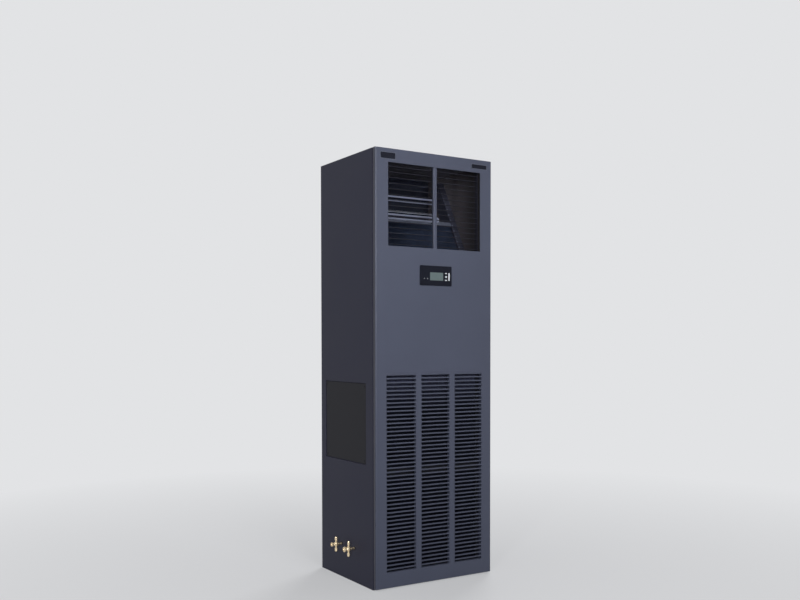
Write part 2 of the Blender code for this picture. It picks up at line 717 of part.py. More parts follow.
def door_panel():
    """Folded sheet door with the window, the three intake openings and the display cut-out."""
    foot, sheet, back = DOOR_FLOOR_GAP, DOOR_SHEET, depth(DOOR_DEPTH)
    door = block("door_panel", (LEFT, FRONT, foot), (RIGHT, back, TOP), PAINT, CORNER_RADIUS,
                 upright_front)
    boolean(door, block("cut_door_pocket", (LEFT + sheet, FRONT + sheet, foot + sheet),
                        (RIGHT - sheet, back - sheet, TOP - sheet), PAINT, CORNER_RADIUS - sheet,
                        upright_front))
    boolean(door, block("cut_door_mouth", (LEFT + DOOR_LIP, back - 2 * sheet, foot + DOOR_LIP),
                        (RIGHT - DOOR_LIP, back + OVERSHOOT, TOP - DOOR_LIP), PAINT))
    boolean(door, block("cut_window", (WINDOW_LEFT, FRONT - OVERSHOOT, WINDOW_SILL),
                        (WINDOW_RIGHT, FRONT + 2 * sheet, WINDOW_TOP), PAINT))
    for index, (low_x, high_x) in enumerate(intake_spans()):
        boolean(door, block(f"cut_intake_{index}", (low_x, FRONT - OVERSHOOT, INTAKE_FOOT),
                            (high_x, FRONT + 2 * sheet, INTAKE_TOP), PAINT))
    boolean(door, display_cut("cut_display", PAINT))
    for name, height in hinge_heights().items():
        low = (RIGHT - DOOR_LIP - OVERSHOOT, FRONT + HINGE_NOTCH_SETBACK, height - HINGE_CLEARANCE)
        high = (RIGHT + OVERSHOOT, back + OVERSHOOT, height + HINGE_ARM_HEIGHT + HINGE_TOP_CLEARANCE)
        boolean(door, block(f"cut_hinge_{name}", low, high, PAINT))
    return door


def intake_spans():
    """Low and high X of each intake column."""
    total = INTAKE_COLUMNS * INTAKE_COLUMN_WIDTH + (INTAKE_COLUMNS - 1) * INTAKE_POST
    spans = []
    for index in range(INTAKE_COLUMNS):
        low = -total / 2 + index * (INTAKE_COLUMN_WIDTH + INTAKE_POST)
        spans.append((low, low + INTAKE_COLUMN_WIDTH))
    return spans


def intake_grille(name, low_x, high_x):
    """One intake column: a frame with sloping blades, each with an upright lip at the front."""
    low_x, high_x = low_x + SEAT, high_x - SEAT
    foot, head = INTAKE_FOOT + SEAT, INTAKE_TOP - SEAT
    frame = block(name, (low_x, FRONT, foot), (high_x, depth(INTAKE_DEPTH), head), PAINT)
    edge = INTAKE_FRAME
    boolean(frame, block(f"cut_{name}", (low_x + edge, FRONT - OVERSHOOT, foot + edge),
                         (high_x - edge, depth(INTAKE_DEPTH) + OVERSHOOT, head - edge), PAINT))
    thick = INTAKE_BLADE_THICKNESS
    front, back = depth(INTAKE_BLADE_INSET), depth(INTAKE_DEPTH - INTAKE_BLADE_BACK)
    low = -INTAKE_LIP - INTAKE_DROP
    section = [(front, 0.0), (front, -INTAKE_LIP), (back, low), (back, low + thick),
               (front + thick, -INTAKE_LIP + thick), (front + thick, 0.0)]
    levels = [INTAKE_TOP - INTAKE_HEAD_INSET]
    levels += [INTAKE_TOP - index * INTAKE_PITCH for index in range(1, INTAKE_BLADES)]
    blades = bars(name + "_blades", section, low_x + edge / 2, high_x - edge / 2, levels, PAINT)
    return joined(name, [frame, blades], PAINT)


def intake_grilles():
    for name, (low_x, high_x) in zip(("left", "middle", "right"), intake_spans()):
        intake_grille(f"intake_grille_{name}", low_x, high_x)


def door_mullion():
    """Upright bar in the middle of the window, lapped behind the sheet."""
    return block("door_mullion", (-MULLION_WIDTH / 2, SHEET_BACK, WINDOW_SILL - WINDOW_LAP),
                 (MULLION_WIDTH / 2, SHEET_BACK + MULLION_DEPTH, WINDOW_TOP + WINDOW_LAP), PAINT,
                 PANEL_RADIUS, upright_front)


def outlet_opening():
    """Inner low and high X, foot and head of the sleeve round the window."""
    lap = WINDOW_LAP + SEAT
    return (WINDOW_LEFT - OUTLET_MARGIN, WINDOW_RIGHT + OUTLET_MARGIN, WINDOW_SILL - lap,
            WINDOW_TOP + lap)


def outlet_sleeve():
    """Folded sheet sleeve round the window with a flange against the door's back."""
    low_x, high_x, foot, head = outlet_opening()
    back = depth(OUTLET_REACH)
    edge = OUTLET_SHEET
    sleeve = block("outlet_sleeve", (low_x - edge, SHEET_BACK, foot - edge),
                   (high_x + edge, back, head + edge), DARK_STEEL)
    edge = OUTLET_SHEET + OUTLET_FLANGE
    flange = block("outlet_sleeve_flange", (low_x - edge, SHEET_BACK, foot - edge),
                   (high_x + edge, SHEET_BACK + OUTLET_FLANGE_SHEET, head + edge), DARK_STEEL)
    joined("outlet_sleeve", [sleeve, flange], DARK_STEEL)
    return boolean(sleeve, block("cut_outlet_sleeve", (low_x, SHEET_BACK - OVERSHOOT, foot),
                                 (high_x, back + OVERSHOOT, head), DARK_STEEL))


def outlet_blades():
    """Fixed blades across the window on two end strips."""
    low_x, high_x, foot, head = outlet_opening()
    front, back = depth(BLADE_SETBACK), depth(BLADE_SETBACK + BLADE_CHORD)
    strips = []
    for name, x in (("outlet_blades", low_x + SEAT), ("outlet_strip", high_x - SEAT - BLADE_STRIP)):
        strips.append(block(name, (x, front, foot + SEAT), (x + BLADE_STRIP, back, head - SEAT),
                            DARK_STEEL))
    half = BLADE_THICKNESS / 2
    rise = math.tan(BLADE_TILT) * BLADE_CHORD / 2
    nose, tail = front + BLADE_NOSE, back - BLADE_NOSE
    section = [(nose, -rise - half), (tail, rise - half), (tail, rise + half), (nose, -rise + half)]
    pitch = WINDOW_HEIGHT / BLADE_COUNT
    levels = [WINDOW_SILL + pitch * (index + 0.5) for index in range(BLADE_COUNT)]
    inset = SEAT + BLADE_STRIP / 2
    blades = bars("outlet_blades_all", section, low_x + inset, high_x - inset, levels, DARK_STEEL)
    return joined("outlet_blades", [*strips, blades], DARK_STEEL)


def display_body_box():
    """Box of the display's body behind its front plate."""
    half_width = DISPLAY_WIDTH / 2 - DISPLAY_BODY_MARGIN
    half_height = DISPLAY_HEIGHT / 2 - DISPLAY_BODY_MARGIN
    low = (-half_width, FRONT - SEAT, DISPLAY_CENTRE - half_height)
    high = (half_width, depth(DISPLAY_BODY_DEPTH), DISPLAY_CENTRE + half_height)
    return low, high


def display_cut(name, material):
    """Cutting tool for the display's body."""
    low, high = display_body_box()
    grow = Vector((SEAT, 2 * OVERSHOOT, SEAT))
    return block(name, Vector(low) - grow, Vector(high) + grow, material)


def display_inlay(plate, name, offset, width, height, thickness, material):
    """A flat piece let into the front of the display's plate."""
    front = FRONT - SEAT - DISPLAY_PLATE
    centre = DISPLAY_CENTRE - SCREEN_DROP
    low = Vector((offset - width / 2, front, centre - height / 2))
    high = Vector((offset + width / 2, front + thickness, centre + height / 2))
    before, beyond = Vector((SEAT, OVERSHOOT, SEAT)), Vector((SEAT, SEAT, SEAT))
    boolean(plate, block("cut_" + name, low - before, high + beyond, BLACK_PLASTIC))
    return block(name, low, high, material)


def display():
    """Black display unit: front plate on the door, body through it, screen and keypad."""
    half_width, half_height = DISPLAY_WIDTH / 2, DISPLAY_HEIGHT / 2
    plate = block("display_housing",
                  (-half_width, FRONT - SEAT - DISPLAY_PLATE, DISPLAY_CENTRE - half_height),
                  (half_width, FRONT - SEAT, DISPLAY_CENTRE + half_height),
                  BLACK_PLASTIC, DISPLAY_RADIUS, front_face_edges, 2)
    low, high = display_body_box()
    body = block("display_body", (low[0], FRONT - DISPLAY_PLATE / 2, low[2]), high, BLACK_PLASTIC)
    joined("display_housing", [plate, body], BLACK_PLASTIC)
    display_inlay(plate, "display_screen", SCREEN_OFFSET, SCREEN_WIDTH, SCREEN_HEIGHT, SCREEN_DEPTH,
                  SCREEN_GLASS)
    display_inlay(plate, "display_keypad", KEYPAD_OFFSET, KEYPAD_WIDTH, KEYPAD_HEIGHT, KEYPAD_DEPTH,
                  KEY_PLASTIC)


def door_liner():
    """Insulation board inside the door between the window and the intake."""
    margin = DOOR_LIP + LINER_GAP
    flange = WINDOW_LAP + OUTLET_SHEET + OUTLET_FLANGE + LINER_GAP
    liner = block("door_liner", (LEFT + margin, SHEET_BACK, INTAKE_TOP + INTAKE_RAIL_GAP + LINER_GAP),
                  (RIGHT - margin, SHEET_BACK + DOOR_LINER, WINDOW_SILL - flange), FOAM)
    return boolean(liner, display_cut("cut_liner", FOAM))


def hinge_socket(name, height):
    """Block inside the door's right edge that turns on a hinge pin."""
    foot = height + HINGE_ARM_HEIGHT + HINGE_RUNNING_GAP
    low = (HINGE_X - HINGE_SOCKET_SIDE, HINGE_Y - HINGE_SOCKET_NOSE, foot)
    high = (RIGHT - DOOR_SHEET - SEAT, depth(DOOR_DEPTH) - DOOR_SHEET - SEAT, foot + HINGE_SOCKET_HEIGHT)
    socket = block(name, low, high, ZINC)
    start = (HINGE_X, HINGE_Y, foot - OVERSHOOT)
    end = (HINGE_X, HINGE_Y, foot + HINGE_PIN_LENGTH + HINGE_SOCKET_SPARE)
    hole = rod(f"cut_{name}", start, end, HINGE_PIN_RADIUS + HINGE_RUNNING_GAP, ZINC)
    return boolean(socket, hole)


DOOR_PIECES = ("door_panel", "door_mullion", "door_liner", "outlet_sleeve", "outlet_blades",
               "intake_grille_left", "intake_grille_middle", "intake_grille_right",
               "display_housing", "display_screen", "display_keypad", "hinge_socket_lower",
               "hinge_socket_upper")


def hang_on_hinge():
    """Parent every door piece to an empty on the hinge axis."""
    axis = bpy.data.objects.new("door_hinge_axis", None)
    axis.location = (HINGE_X, HINGE_Y, 0.0)
    PARTS.objects.link(axis)
    bpy.context.view_layer.update()
    for name in DOOR_PIECES:
        thing = PARTS.objects[name]
        matrix = thing.matrix_world.copy()
        thing.parent = axis
        thing.matrix_parent_inverse = axis.matrix_world.inverted()
        thing.matrix_world = matrix


def build():
    base_frame()
    side_panel_left()
    side_panel_right()
    rear_panel()
    top_panel()
    front_posts()
    front_rails()
    door_gasket()
    service_cover()
    valves()
    plenum_liners()
    coil()
    drip_tray()
    heaters()
    electrics_box()
    air_filters()
    door_panel()
    intake_grilles()
    door_mullion()
    outlet_sleeve()
    outlet_blades()
    display()
    door_liner()
    for name, height in hinge_heights().items():
        hinge_arm(f"hinge_arm_{name}", height)
        hinge_socket(f"hinge_socket_{name}", height)
    hang_on_hinge()


build()
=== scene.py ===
"""Looks of a computer room air conditioner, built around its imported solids.

Metres, in the frame of the solids: the origin is the centre of the cabinet's base on the floor,
-Y is the front and +X is the right-hand side as seen from the front.
"""

import json
import math

import bmesh
import bpy
from mathutils import Matrix, Vector


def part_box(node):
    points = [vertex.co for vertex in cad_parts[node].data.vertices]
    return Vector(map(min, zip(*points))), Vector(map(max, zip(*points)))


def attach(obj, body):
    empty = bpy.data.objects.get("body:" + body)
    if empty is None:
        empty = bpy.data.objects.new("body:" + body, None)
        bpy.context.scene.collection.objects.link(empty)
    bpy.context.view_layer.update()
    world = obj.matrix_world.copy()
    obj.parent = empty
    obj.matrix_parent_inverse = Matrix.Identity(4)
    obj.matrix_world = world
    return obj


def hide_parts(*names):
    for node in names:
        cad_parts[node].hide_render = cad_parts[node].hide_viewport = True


CABINET = "cabinet"
DOOR = "front_door"
TO_RIGHT, TO_LEFT = (1, 0, 0), (-1, 0, 0)
TO_BACK, TO_FRONT = (0, 1, 0), (0, -1, 0)
UPWARDS = (0, 0, 1)

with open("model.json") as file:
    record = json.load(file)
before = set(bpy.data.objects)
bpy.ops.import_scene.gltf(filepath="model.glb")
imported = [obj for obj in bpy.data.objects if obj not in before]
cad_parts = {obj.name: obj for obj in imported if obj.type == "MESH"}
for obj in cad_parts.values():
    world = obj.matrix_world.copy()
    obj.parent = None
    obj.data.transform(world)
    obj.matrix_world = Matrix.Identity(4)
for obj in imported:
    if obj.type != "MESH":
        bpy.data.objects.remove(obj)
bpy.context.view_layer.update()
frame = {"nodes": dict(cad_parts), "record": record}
bpy.ops.object.select_all(action="DESELECT")
nodes = frame["nodes"]
DOOR_LOW, DOOR_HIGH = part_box("door_panel")
LEFT, RIGHT = DOOR_LOW.x, DOOR_HIGH.x
FRONT = DOOR_LOW.y


# Modelling

FACING = 0.9  # a direction follows an axis when more than this part of it lies along the axis
MERGE_DISTANCE = 0.00001
FLAT_ANGLE = math.radians(1.0)
SOFT_ANGLE = 30.0
SOFT_SEGMENTS = 2
CORNER_SEGMENTS = 4
NORMAL_WEIGHT = 100


def only(piece):
    """Make one piece the one that operators act on."""
    bpy.ops.object.select_all(action="DESELECT")
    piece.select_set(True)
    bpy.context.view_layer.objects.active = piece


def settle(piece, name):
    """Name a piece and put its place into its mesh."""
    only(piece)
    piece.name = name
    piece.data.name = name
    bpy.ops.object.transform_apply(location=True, rotation=True, scale=True)
    return piece


def slab(name, low, high):
    """A box between two corners, to be shaped further."""
    low, high = Vector(low), Vector(high)
    bpy.ops.object.select_all(action="DESELECT")
    bpy.ops.mesh.primitive_cube_add(size=1.0, location=(low + high) / 2, scale=high - low)
    return settle(bpy.context.object, name)


class Edit:
    """Edit mode on one piece, with nothing selected and parts of it picked by place."""

    def __init__(self, piece):
        self.piece = piece

    def __enter__(self):
        only(self.piece)
        bpy.ops.object.mode_set(mode="EDIT")
        bpy.ops.mesh.select_all(action="DESELECT")
        return self

    def __exit__(self, *error):
        bpy.ops.object.mode_set(mode="OBJECT")

    def faces(self, test):
        """Select the faces that test(middle, normal) picks."""
        bpy.ops.mesh.select_mode(type="FACE")
        bpy.ops.mesh.select_all(action="DESELECT")
        shape = bmesh.from_edit_mesh(self.piece.data)
        for face in shape.faces:
            face.select_set(bool(test(face.calc_center_median(), face.normal)))
        shape.select_flush_mode()
        bmesh.update_edit_mesh(self.piece.data)

    def edges(self, test):
        """Select the edges that test(middle, direction) picks."""
        bpy.ops.mesh.select_mode(type="EDGE")
        bpy.ops.mesh.select_all(action="DESELECT")
        shape = bmesh.from_edit_mesh(self.piece.data)
        for edge in shape.edges:
            start, end = edge.verts[0].co, edge.verts[1].co
            edge.select_set(bool(test((start + end) / 2, (end - start).normalized())))
        shape.select_flush_mode()
        bmesh.update_edit_mesh(self.piece.data)

    def inset(self, width):
        bpy.ops.mesh.inset(thickness=width, use_even_offset=True)

    def extrude(self, offset):
        bpy.ops.mesh.extrude_region_move(TRANSFORM_OT_translate={"value": offset})

    def bevel(self, width):
        bpy.ops.mesh.bevel(offset=width, segments=CORNER_SEGMENTS, affect="EDGES", profile=0.5)

    def resize(self, ratio, centre):
        bpy.ops.transform.resize(value=ratio, center_override=centre)


def front_face(middle, normal):
    """Picks the faces that look towards the front."""
    return normal.y < -FACING


def upper_face(middle, normal):
    """Picks the faces that look up."""
    return normal.z > FACING


def depth_edge(middle, direction):
    """Picks the edges that run from the front to the back."""
    return abs(direction.y) > FACING


def smooth(piece, angle):
    """Shade a piece smoothly, apart from its edges that turn by more than an angle in degrees."""
    only(piece)
    bpy.ops.object.shade_smooth_by_angle(angle=math.radians(angle))
    return piece


def soften(piece, width):
    """Round the hard edges of a finished piece and shade it smoothly between them."""
    only(piece)
    step = piece.modifiers.new("soften", "BEVEL")
    step.width = width
    step.segments = SOFT_SEGMENTS
    step.limit_method = "ANGLE"
    step.angle_limit = math.radians(SOFT_ANGLE)
    bpy.ops.object.modifier_apply(modifier=step.name)
    smooth(piece, SOFT_ANGLE)
    evened = piece.modifiers.new("evened", "WEIGHTED_NORMAL")
    evened.weight = NORMAL_WEIGHT
    evened.keep_sharp = True
    bpy.ops.object.modifier_apply(modifier=evened.name)
    return piece


def cut(piece, cutter):
    """Cut one closed piece out of another."""
    only(piece)
    step = piece.modifiers.new("cut", "BOOLEAN")
    step.operation = "DIFFERENCE"
    step.solver = "EXACT"
    step.object = cutter
    bpy.ops.object.modifier_apply(modifier=step.name)
    bpy.data.objects.remove(cutter, do_unlink=True)
    return piece


def twin(node, name):
    """A merged copy of a solid, to be worked on in its place."""
    only(nodes[node])
    bpy.ops.object.duplicate()
    copy = settle(bpy.context.object, name)
    copy.modifiers.clear()
    with Edit(copy):
        bpy.ops.mesh.select_all(action="SELECT")
        bpy.ops.mesh.remove_doubles(threshold=MERGE_DISTANCE)
        bpy.ops.mesh.dissolve_limited(angle_limit=FLAT_ANGLE)
    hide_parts(node)
    return copy


def turned(name, profile, sides):
    """A closed turned shape up the Z axis from (radius, height) steps, the first at its foot."""
    radius, height = profile[0]
    bpy.ops.object.select_all(action="DESELECT")
    bpy.ops.mesh.primitive_circle_add(vertices=sides, radius=radius, fill_type="NGON",
                                      location=(0.0, 0.0, height))
    piece = settle(bpy.context.object, name)
    with Edit(piece) as edit:
        bpy.ops.mesh.select_all(action="SELECT")
        for next_radius, next_height in profile[1:]:
            edit.extrude((0.0, 0.0, next_height - height))
            ratio = next_radius / radius
            edit.resize((ratio, ratio, 1.0), (0.0, 0.0, next_height))
            radius, height = next_radius, next_height
        bpy.ops.mesh.select_all(action="SELECT")
        bpy.ops.mesh.normals_make_consistent(inside=False)
    return piece


def aimed(origin, axis):
    """Matrix that stands a shape made up the Z axis on a point, along an axis."""
    return Matrix.Translation(origin) @ Vector(axis).to_track_quat("Z", "Y").to_matrix().to_4x4()


def placed(piece, matrix):
    """Move a piece's mesh by a matrix."""
    piece.data.transform(matrix)
    piece.data.update()
    return piece


def repeat(piece, matrices):
    """Copies of one piece at each place, as one object with the piece's name."""
    name, copies = piece.name, []
    for matrix in matrices:
        only(piece)
        bpy.ops.object.duplicate()
        copies.append(placed(bpy.context.object, matrix))
    bpy.data.objects.remove(piece, do_unlink=True)
    return merged(name, copies)


def merged(name, pieces):
    """Several pieces as one object."""
    bpy.ops.object.select_all(action="DESELECT")
    for piece in pieces:
        piece.select_set(True)
    bpy.context.view_layer.objects.active = pieces[0]
    if len(pieces) > 1:
        bpy.ops.object.join()
    made = bpy.context.object
    made.name = name
    made.data.name = name
    return made


def dress(piece, material, body):
    """Give a piece its finish and the body that it moves with."""
    piece.data.materials.clear()
    piece.data.materials.append(material)
    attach(piece, body)
    return piece


# Node trees

def tint(red, green, blue):
    """A colour given as it looks on a screen, 0 to 255, as the shader's linear values."""
    values = []
    for value in (red, green, blue):
        share = value / 255
        values.append(share / 12.92 if share <= 0.04045 else ((share + 0.055) / 1.055) ** 2.4)
    return (*values, 1.0)


def toned(colour, ratio):
    """A colour made lighter or darker."""
    return (*(min(1.0, value * ratio) for value in colour[:3]), 1.0)


class Signal:
    """A value in a node tree that varies over a surface, with Python's arithmetic."""

    def __init__(self, owner, socket):
        self.owner = owner
        self.socket = socket

    def joined_to(self, operation, first, second):
        return self.owner.node("ShaderNodeMath", {"operation": operation}, {0: first, 1: second})

    def __add__(self, other):
        return self.joined_to("ADD", self, other)

    def __sub__(self, other):
        return self.joined_to("SUBTRACT", self, other)

    def __rsub__(self, other):
        return self.joined_to("SUBTRACT", other, self)

    def __mul__(self, other):
        return self.joined_to("MULTIPLY", self, other)

    def __truediv__(self, other):
        return self.joined_to("DIVIDE", self, other)

    def above(self, level):
        return self.joined_to("GREATER_THAN", self, level)

    def wave(self):
        return self.joined_to("SINE", self, 0.0)


class Tree:
    """A node tree that is built up from Python expressions."""

    def __init__(self, tree):
        self.tree = tree

    def node(self, kind, settings=None, links=None, output=0):
        made = self.tree.nodes.new(kind)
        for key, value in (settings or {}).items():
            if key == "stops":
                ramp = made.color_ramp
                while len(ramp.elements) < len(value):
                    ramp.elements.new(0.5)
                for element, (position, colour) in zip(ramp.elements, value):
                    element.position = position
                    element.color = colour
            else:
                setattr(made, key, value)
        for key, value in (links or {}).items():
            self.feed(made.inputs[key], value)
        return Signal(self, made.outputs[output])

    def feed(self, socket, value):
        """Link a signal to a socket, or set the socket's own number or colour."""
        if isinstance(value, Signal):
            self.tree.links.new(value.socket, socket)
        else:
            socket.default_value = value

    def steps(self, value, *stops):
        """A value turned into grey levels at stops of (position, level)."""
        grey = [(position, (level, level, level, 1.0)) for position, level in stops]
        return self.node("ShaderNodeValToRGB", {"stops": grey}, {0: value})


class Shader(Tree):
    """A surface material on object coordinates."""

    def __init__(self, name):
        self.material = bpy.data.materials.new(name)
        self.material.use_nodes = True
        super().__init__(self.material.node_tree)
        self.surface = self.tree.nodes["Principled BSDF"]
        self.place = self.node("ShaderNodeTexCoord", output="Object")

    def stretched(self, scale):
        """Object coordinates with a scale of their own along each axis."""
        return self.node("ShaderNodeMapping", {}, {"Vector": self.place, "Scale": scale})

    def noise(self, scale, detail=2.0, roughness=0.5, place=None):
        """Smooth noise from 0 to 1, with about this many lumps to the metre."""
        return self.node("ShaderNodeTexNoise", {},
                         {"Vector": place or self.place, "Scale": scale, "Detail": detail,
                          "Roughness": roughness})

    def cells(self, scale, output="Distance"):
        """Crystals or foam cells, about this many to the metre."""
        return self.node("ShaderNodeTexVoronoi", {"feature": "F1"},
                         {"Vector": self.place, "Scale": scale}, output)

    def axis(self, name):
        """One object coordinate, in metres."""
        return self.node("ShaderNodeSeparateXYZ", {}, {0: self.place}, name)

    def mix(self, factor, first, second):
        return self.node("ShaderNodeMix", {"data_type": "RGBA"},
                         {0: factor, 6: first, 7: second}, 2)

    def tones(self, factor, colour, low, high):
        """One colour in two tones, from low to high as the factor rises."""
        return self.mix(factor, toned(colour, low), toned(colour, high))

    def veil(self, base, mask, share, over):
        """A colour laid thinly over another: by a share of it where the mask is full."""
        return self.mix(mask * share, base, over)

    def spread(self, value, low, high):
        """A value from 0 to 1 spread between two numbers."""
        return value * (high - low) + low

    def ramp(self, value, height=1.0):
        """A grey level that rises from 0 to a height as the value goes from 0 to 1."""
        return self.steps(value, (0.0, 0.0), (1.0, height))

    def bump(self, height, strength, distance):
        return self.node("ShaderNodeBump", {},
                         {"Height": height, "Strength": strength, "Distance": distance})

    def finish(self, **values):
        """Feed the surface's sockets, named with _ for a space, and give the material."""
        for key, value in values.items():
            self.feed(self.surface.inputs[key.replace("_", " ")], value)
        return self.material


# Materials

RETURN_DEPTH = 0.0006
MATTE_ROUGHNESS = 0.6
FRONT_SHADE_START, FRONT_SHADE_REACH = 0.02, 0.17
FRONT_SHADE_TONE = 0.1
FOAM_LIT_HEAD_RISE, FOAM_LIT_HEAD_TONE = 0.05, 4.5
CLOTH_LIT_HEAD_RISE, CLOTH_LIT_HEAD_TONE = 0.14, 7.5
DOT_WAVE = 6283.0  # radians to the metre, which sets the display's dots 1 mm apart


def powder_coat(name, colour, roughness, gloss, shaded_returns=None):
    """Satin powder coat: fine orange peel, a slight cloudiness and a little dust.

    The returns, which face left and right at the cabinet's full width, may be given a darker tone
    as painted shade.
    """
    shader = Shader(name)
    cloud = shader.noise(scale=7.0, detail=3.0)
    peel = shader.noise(scale=900.0)
    speck = shader.noise(scale=2600.0, detail=1.0)
    base = shader.tones(cloud, colour, low=0.94, high=1.06)
    base = shader.veil(base, speck.above(0.68), share=0.25, over=toned(colour, 1.35))
    # Painted shade: the door's left and right returns take the cabinet's darker tone.
    if shaded_returns:
        across = shader.axis("X")
        edge = (RIGHT - RETURN_DEPTH) ** 2
        base = shader.mix((across * across).above(edge), base, shaded_returns)
    return shader.finish(Base_Color=base,
                         Roughness=shader.spread(cloud, roughness - 0.03, roughness + 0.05),
                         Normal=shader.bump(peel, strength=0.22, distance=0.0002),
                         Specular_IOR_Level=gloss)


def matte_paint(name, colour):
    """Flat dark paint with a dry, finely grained surface."""
    shader = Shader(name)
    grain = shader.noise(scale=1500.0, detail=3.0, roughness=0.6)
    cloud = shader.noise(scale=12.0)
    base = shader.tones(shader.spread(grain, 0.2, 0.8), colour, low=0.86, high=1.14)
    base = shader.veil(base, cloud, share=0.3, over=toned(colour, 1.12))
    return shader.finish(Base_Color=base,
                         Roughness=shader.spread(grain, MATTE_ROUGHNESS - 0.06,
                                                 MATTE_ROUGHNESS + 0.06),
                         Normal=shader.bump(grain, strength=0.3, distance=0.0002),
                         Specular_IOR_Level=0.15)


def zinc_coat(name, colour):
    """Galvanised sheet: dull crystals that differ in tone and gloss."""
    shader = Shader(name)
    crystal = shader.cells(scale=95.0, output="Color")
    level = shader.node("ShaderNodeSeparateColor", {}, {0: crystal}, 0)
    haze = shader.noise(scale=14.0, detail=3.0)
    base = shader.tones(shader.spread(level, 0.2, 0.8), colour, low=0.82, high=1.18)
    base = shader.veil(base, haze, share=0.35, over=toned(colour, 0.75))
    return shader.finish(Base_Color=base, Metallic=0.55,
                         Roughness=shader.spread(level, 0.42, 0.56) + haze * 0.06,
                         Normal=shader.bump(shader.noise(scale=700.0), strength=0.08,
                                            distance=0.0002))


def drawn_tube(name, colour, metallic=0.7):
    """Bright drawn tube with fine lines along it and a faint heat tint."""
    shader = Shader(name)
    lines = shader.noise(1.0, 3.0, 0.6, place=shader.stretched((12.0, 1900.0, 1900.0)))
    heated = shader.noise(scale=9.0)
    base = shader.veil(colour, heated, share=0.2, over=tint(196, 178, 150))
    return shader.finish(Base_Color=base, Metallic=metallic,
                         Roughness=shader.spread(lines, 0.42, 0.58),
                         Normal=shader.bump(lines, strength=0.15, distance=0.0001))


def turned_brass(name, colour):
    """Machined brass with tool marks round it and a little tarnish."""
    shader = Shader(name)
    marks = shader.noise(1.0, 2.0, 0.6, place=shader.stretched((2600.0, 300.0, 2600.0)))
    patches = shader.noise(scale=110.0, detail=4.0, roughness=0.6)
    tarnish = shader.steps(patches, (0.48, 0.0), (0.75, 1.0))
    base = shader.veil(colour, tarnish, share=0.45, over=toned(colour, 0.55))
    return shader.finish(Base_Color=base, Metallic=0.85,
                         Roughness=shader.spread(marks, 0.16, 0.28) + tarnish * 0.12,
                         Normal=shader.bump(marks, strength=0.12, distance=0.0001))


def coated_fin(name, colour):
    """Dark blue hydrophilic coat on thin aluminium."""
    shader = Shader(name)
    cloud = shader.noise(scale=40.0, detail=3.0)
    base = shader.tones(cloud, colour, low=0.75, high=1.25)
    return shader.finish(Base_Color=base, Metallic=0.1,
                         Roughness=shader.spread(cloud, 0.42, 0.55),
                         Normal=shader.bump(shader.noise(scale=800.0), strength=0.1,
                                            distance=0.0002))


def cell_foam(name, colour, front_shade=0.0, head=None):
    """Insulation foam with open cells, darkened towards the front as painted shade, or made paler
    above its head as painted light.
    """
    shader = Shader(name)
    cell = shader.cells(scale=420.0)
    cloud = shader.noise(scale=18.0, detail=3.0)
    base = shader.tones(cell, colour, low=0.7, high=1.3)
    base = shader.veil(base, cloud, share=0.4, over=toned(colour, 1.2))
    # Painted shade: the foam gets darker towards the front.
    if front_shade:
        forward = shader.ramp((FRONT_SHADE_START - shader.axis("Y")) / FRONT_SHADE_REACH, front_shade)
        base = shader.mix(forward, base, toned(colour, FRONT_SHADE_TONE))
    # Painted light: the foam is made paler above its head.
    if head:
        upward = shader.ramp((shader.axis("Z") - head) / FOAM_LIT_HEAD_RISE)
        base = shader.mix(upward, base, toned(colour, FOAM_LIT_HEAD_TONE))
    return shader.finish(Base_Color=base, Roughness=0.95,
                         Normal=shader.bump(cell, strength=0.6, distance=0.0008),
                         Specular_IOR_Level=0.1)


def soft_rubber(name, colour):
    """Matte rubber with a slight bloom."""
    shader = Shader(name)
    bloom = shader.noise(scale=60.0, detail=4.0)
    base = shader.mix(bloom, colour, toned(colour, 1.8))
    return shader.finish(Base_Color=base, Roughness=shader.spread(bloom, 0.7, 0.88),
                         Normal=shader.bump(shader.noise(scale=900.0), strength=0.15,
                                            distance=0.0002))


def filter_cloth(name, colour, head=None):
    """Non-woven filter media: tangled fibres with dust between them, made paler above its head as
    painted light.
    """
    shader = Shader(name)
    across = shader.noise(1.0, 4.0, 0.7, place=shader.stretched((1400.0, 1400.0, 260.0)))
    down = shader.noise(1.0, 4.0, 0.7, place=shader.stretched((260.0, 1400.0, 1400.0)))
    fibre = (across + down) / 2.0
    dust = shader.noise(scale=11.0, detail=4.0)
    base = shader.tones(fibre, colour, low=0.6, high=1.4)
    base = shader.veil(base, dust, share=0.3, over=toned(colour, 0.7))
    # Painted light: the cloth is made paler above its head.
    if head:
        upward = shader.ramp((shader.axis("Z") - head) / CLOTH_LIT_HEAD_RISE)
        base = shader.mix(upward, base, toned(colour, CLOTH_LIT_HEAD_TONE))
    return shader.finish(Base_Color=base, Roughness=0.95,
                         Normal=shader.bump(fibre, strength=0.7, distance=0.0006),
                         Specular_IOR_Level=0.0)


def moulded_plastic(name, colour, roughness, gloss=0.25):
    """Injection-moulded plastic with a fine spark-eroded texture."""
    shader = Shader(name)
    erosion = shader.noise(scale=2200.0, detail=3.0, roughness=0.6)
    broad = shader.noise(scale=25.0)
    base = shader.tones(broad, colour, low=0.92, high=1.1)
    return shader.finish(Base_Color=base,
                         Roughness=shader.spread(broad, roughness - 0.04, roughness + 0.05),
                         Normal=shader.bump(erosion, strength=0.2, distance=0.0001),
                         Specular_IOR_Level=gloss)


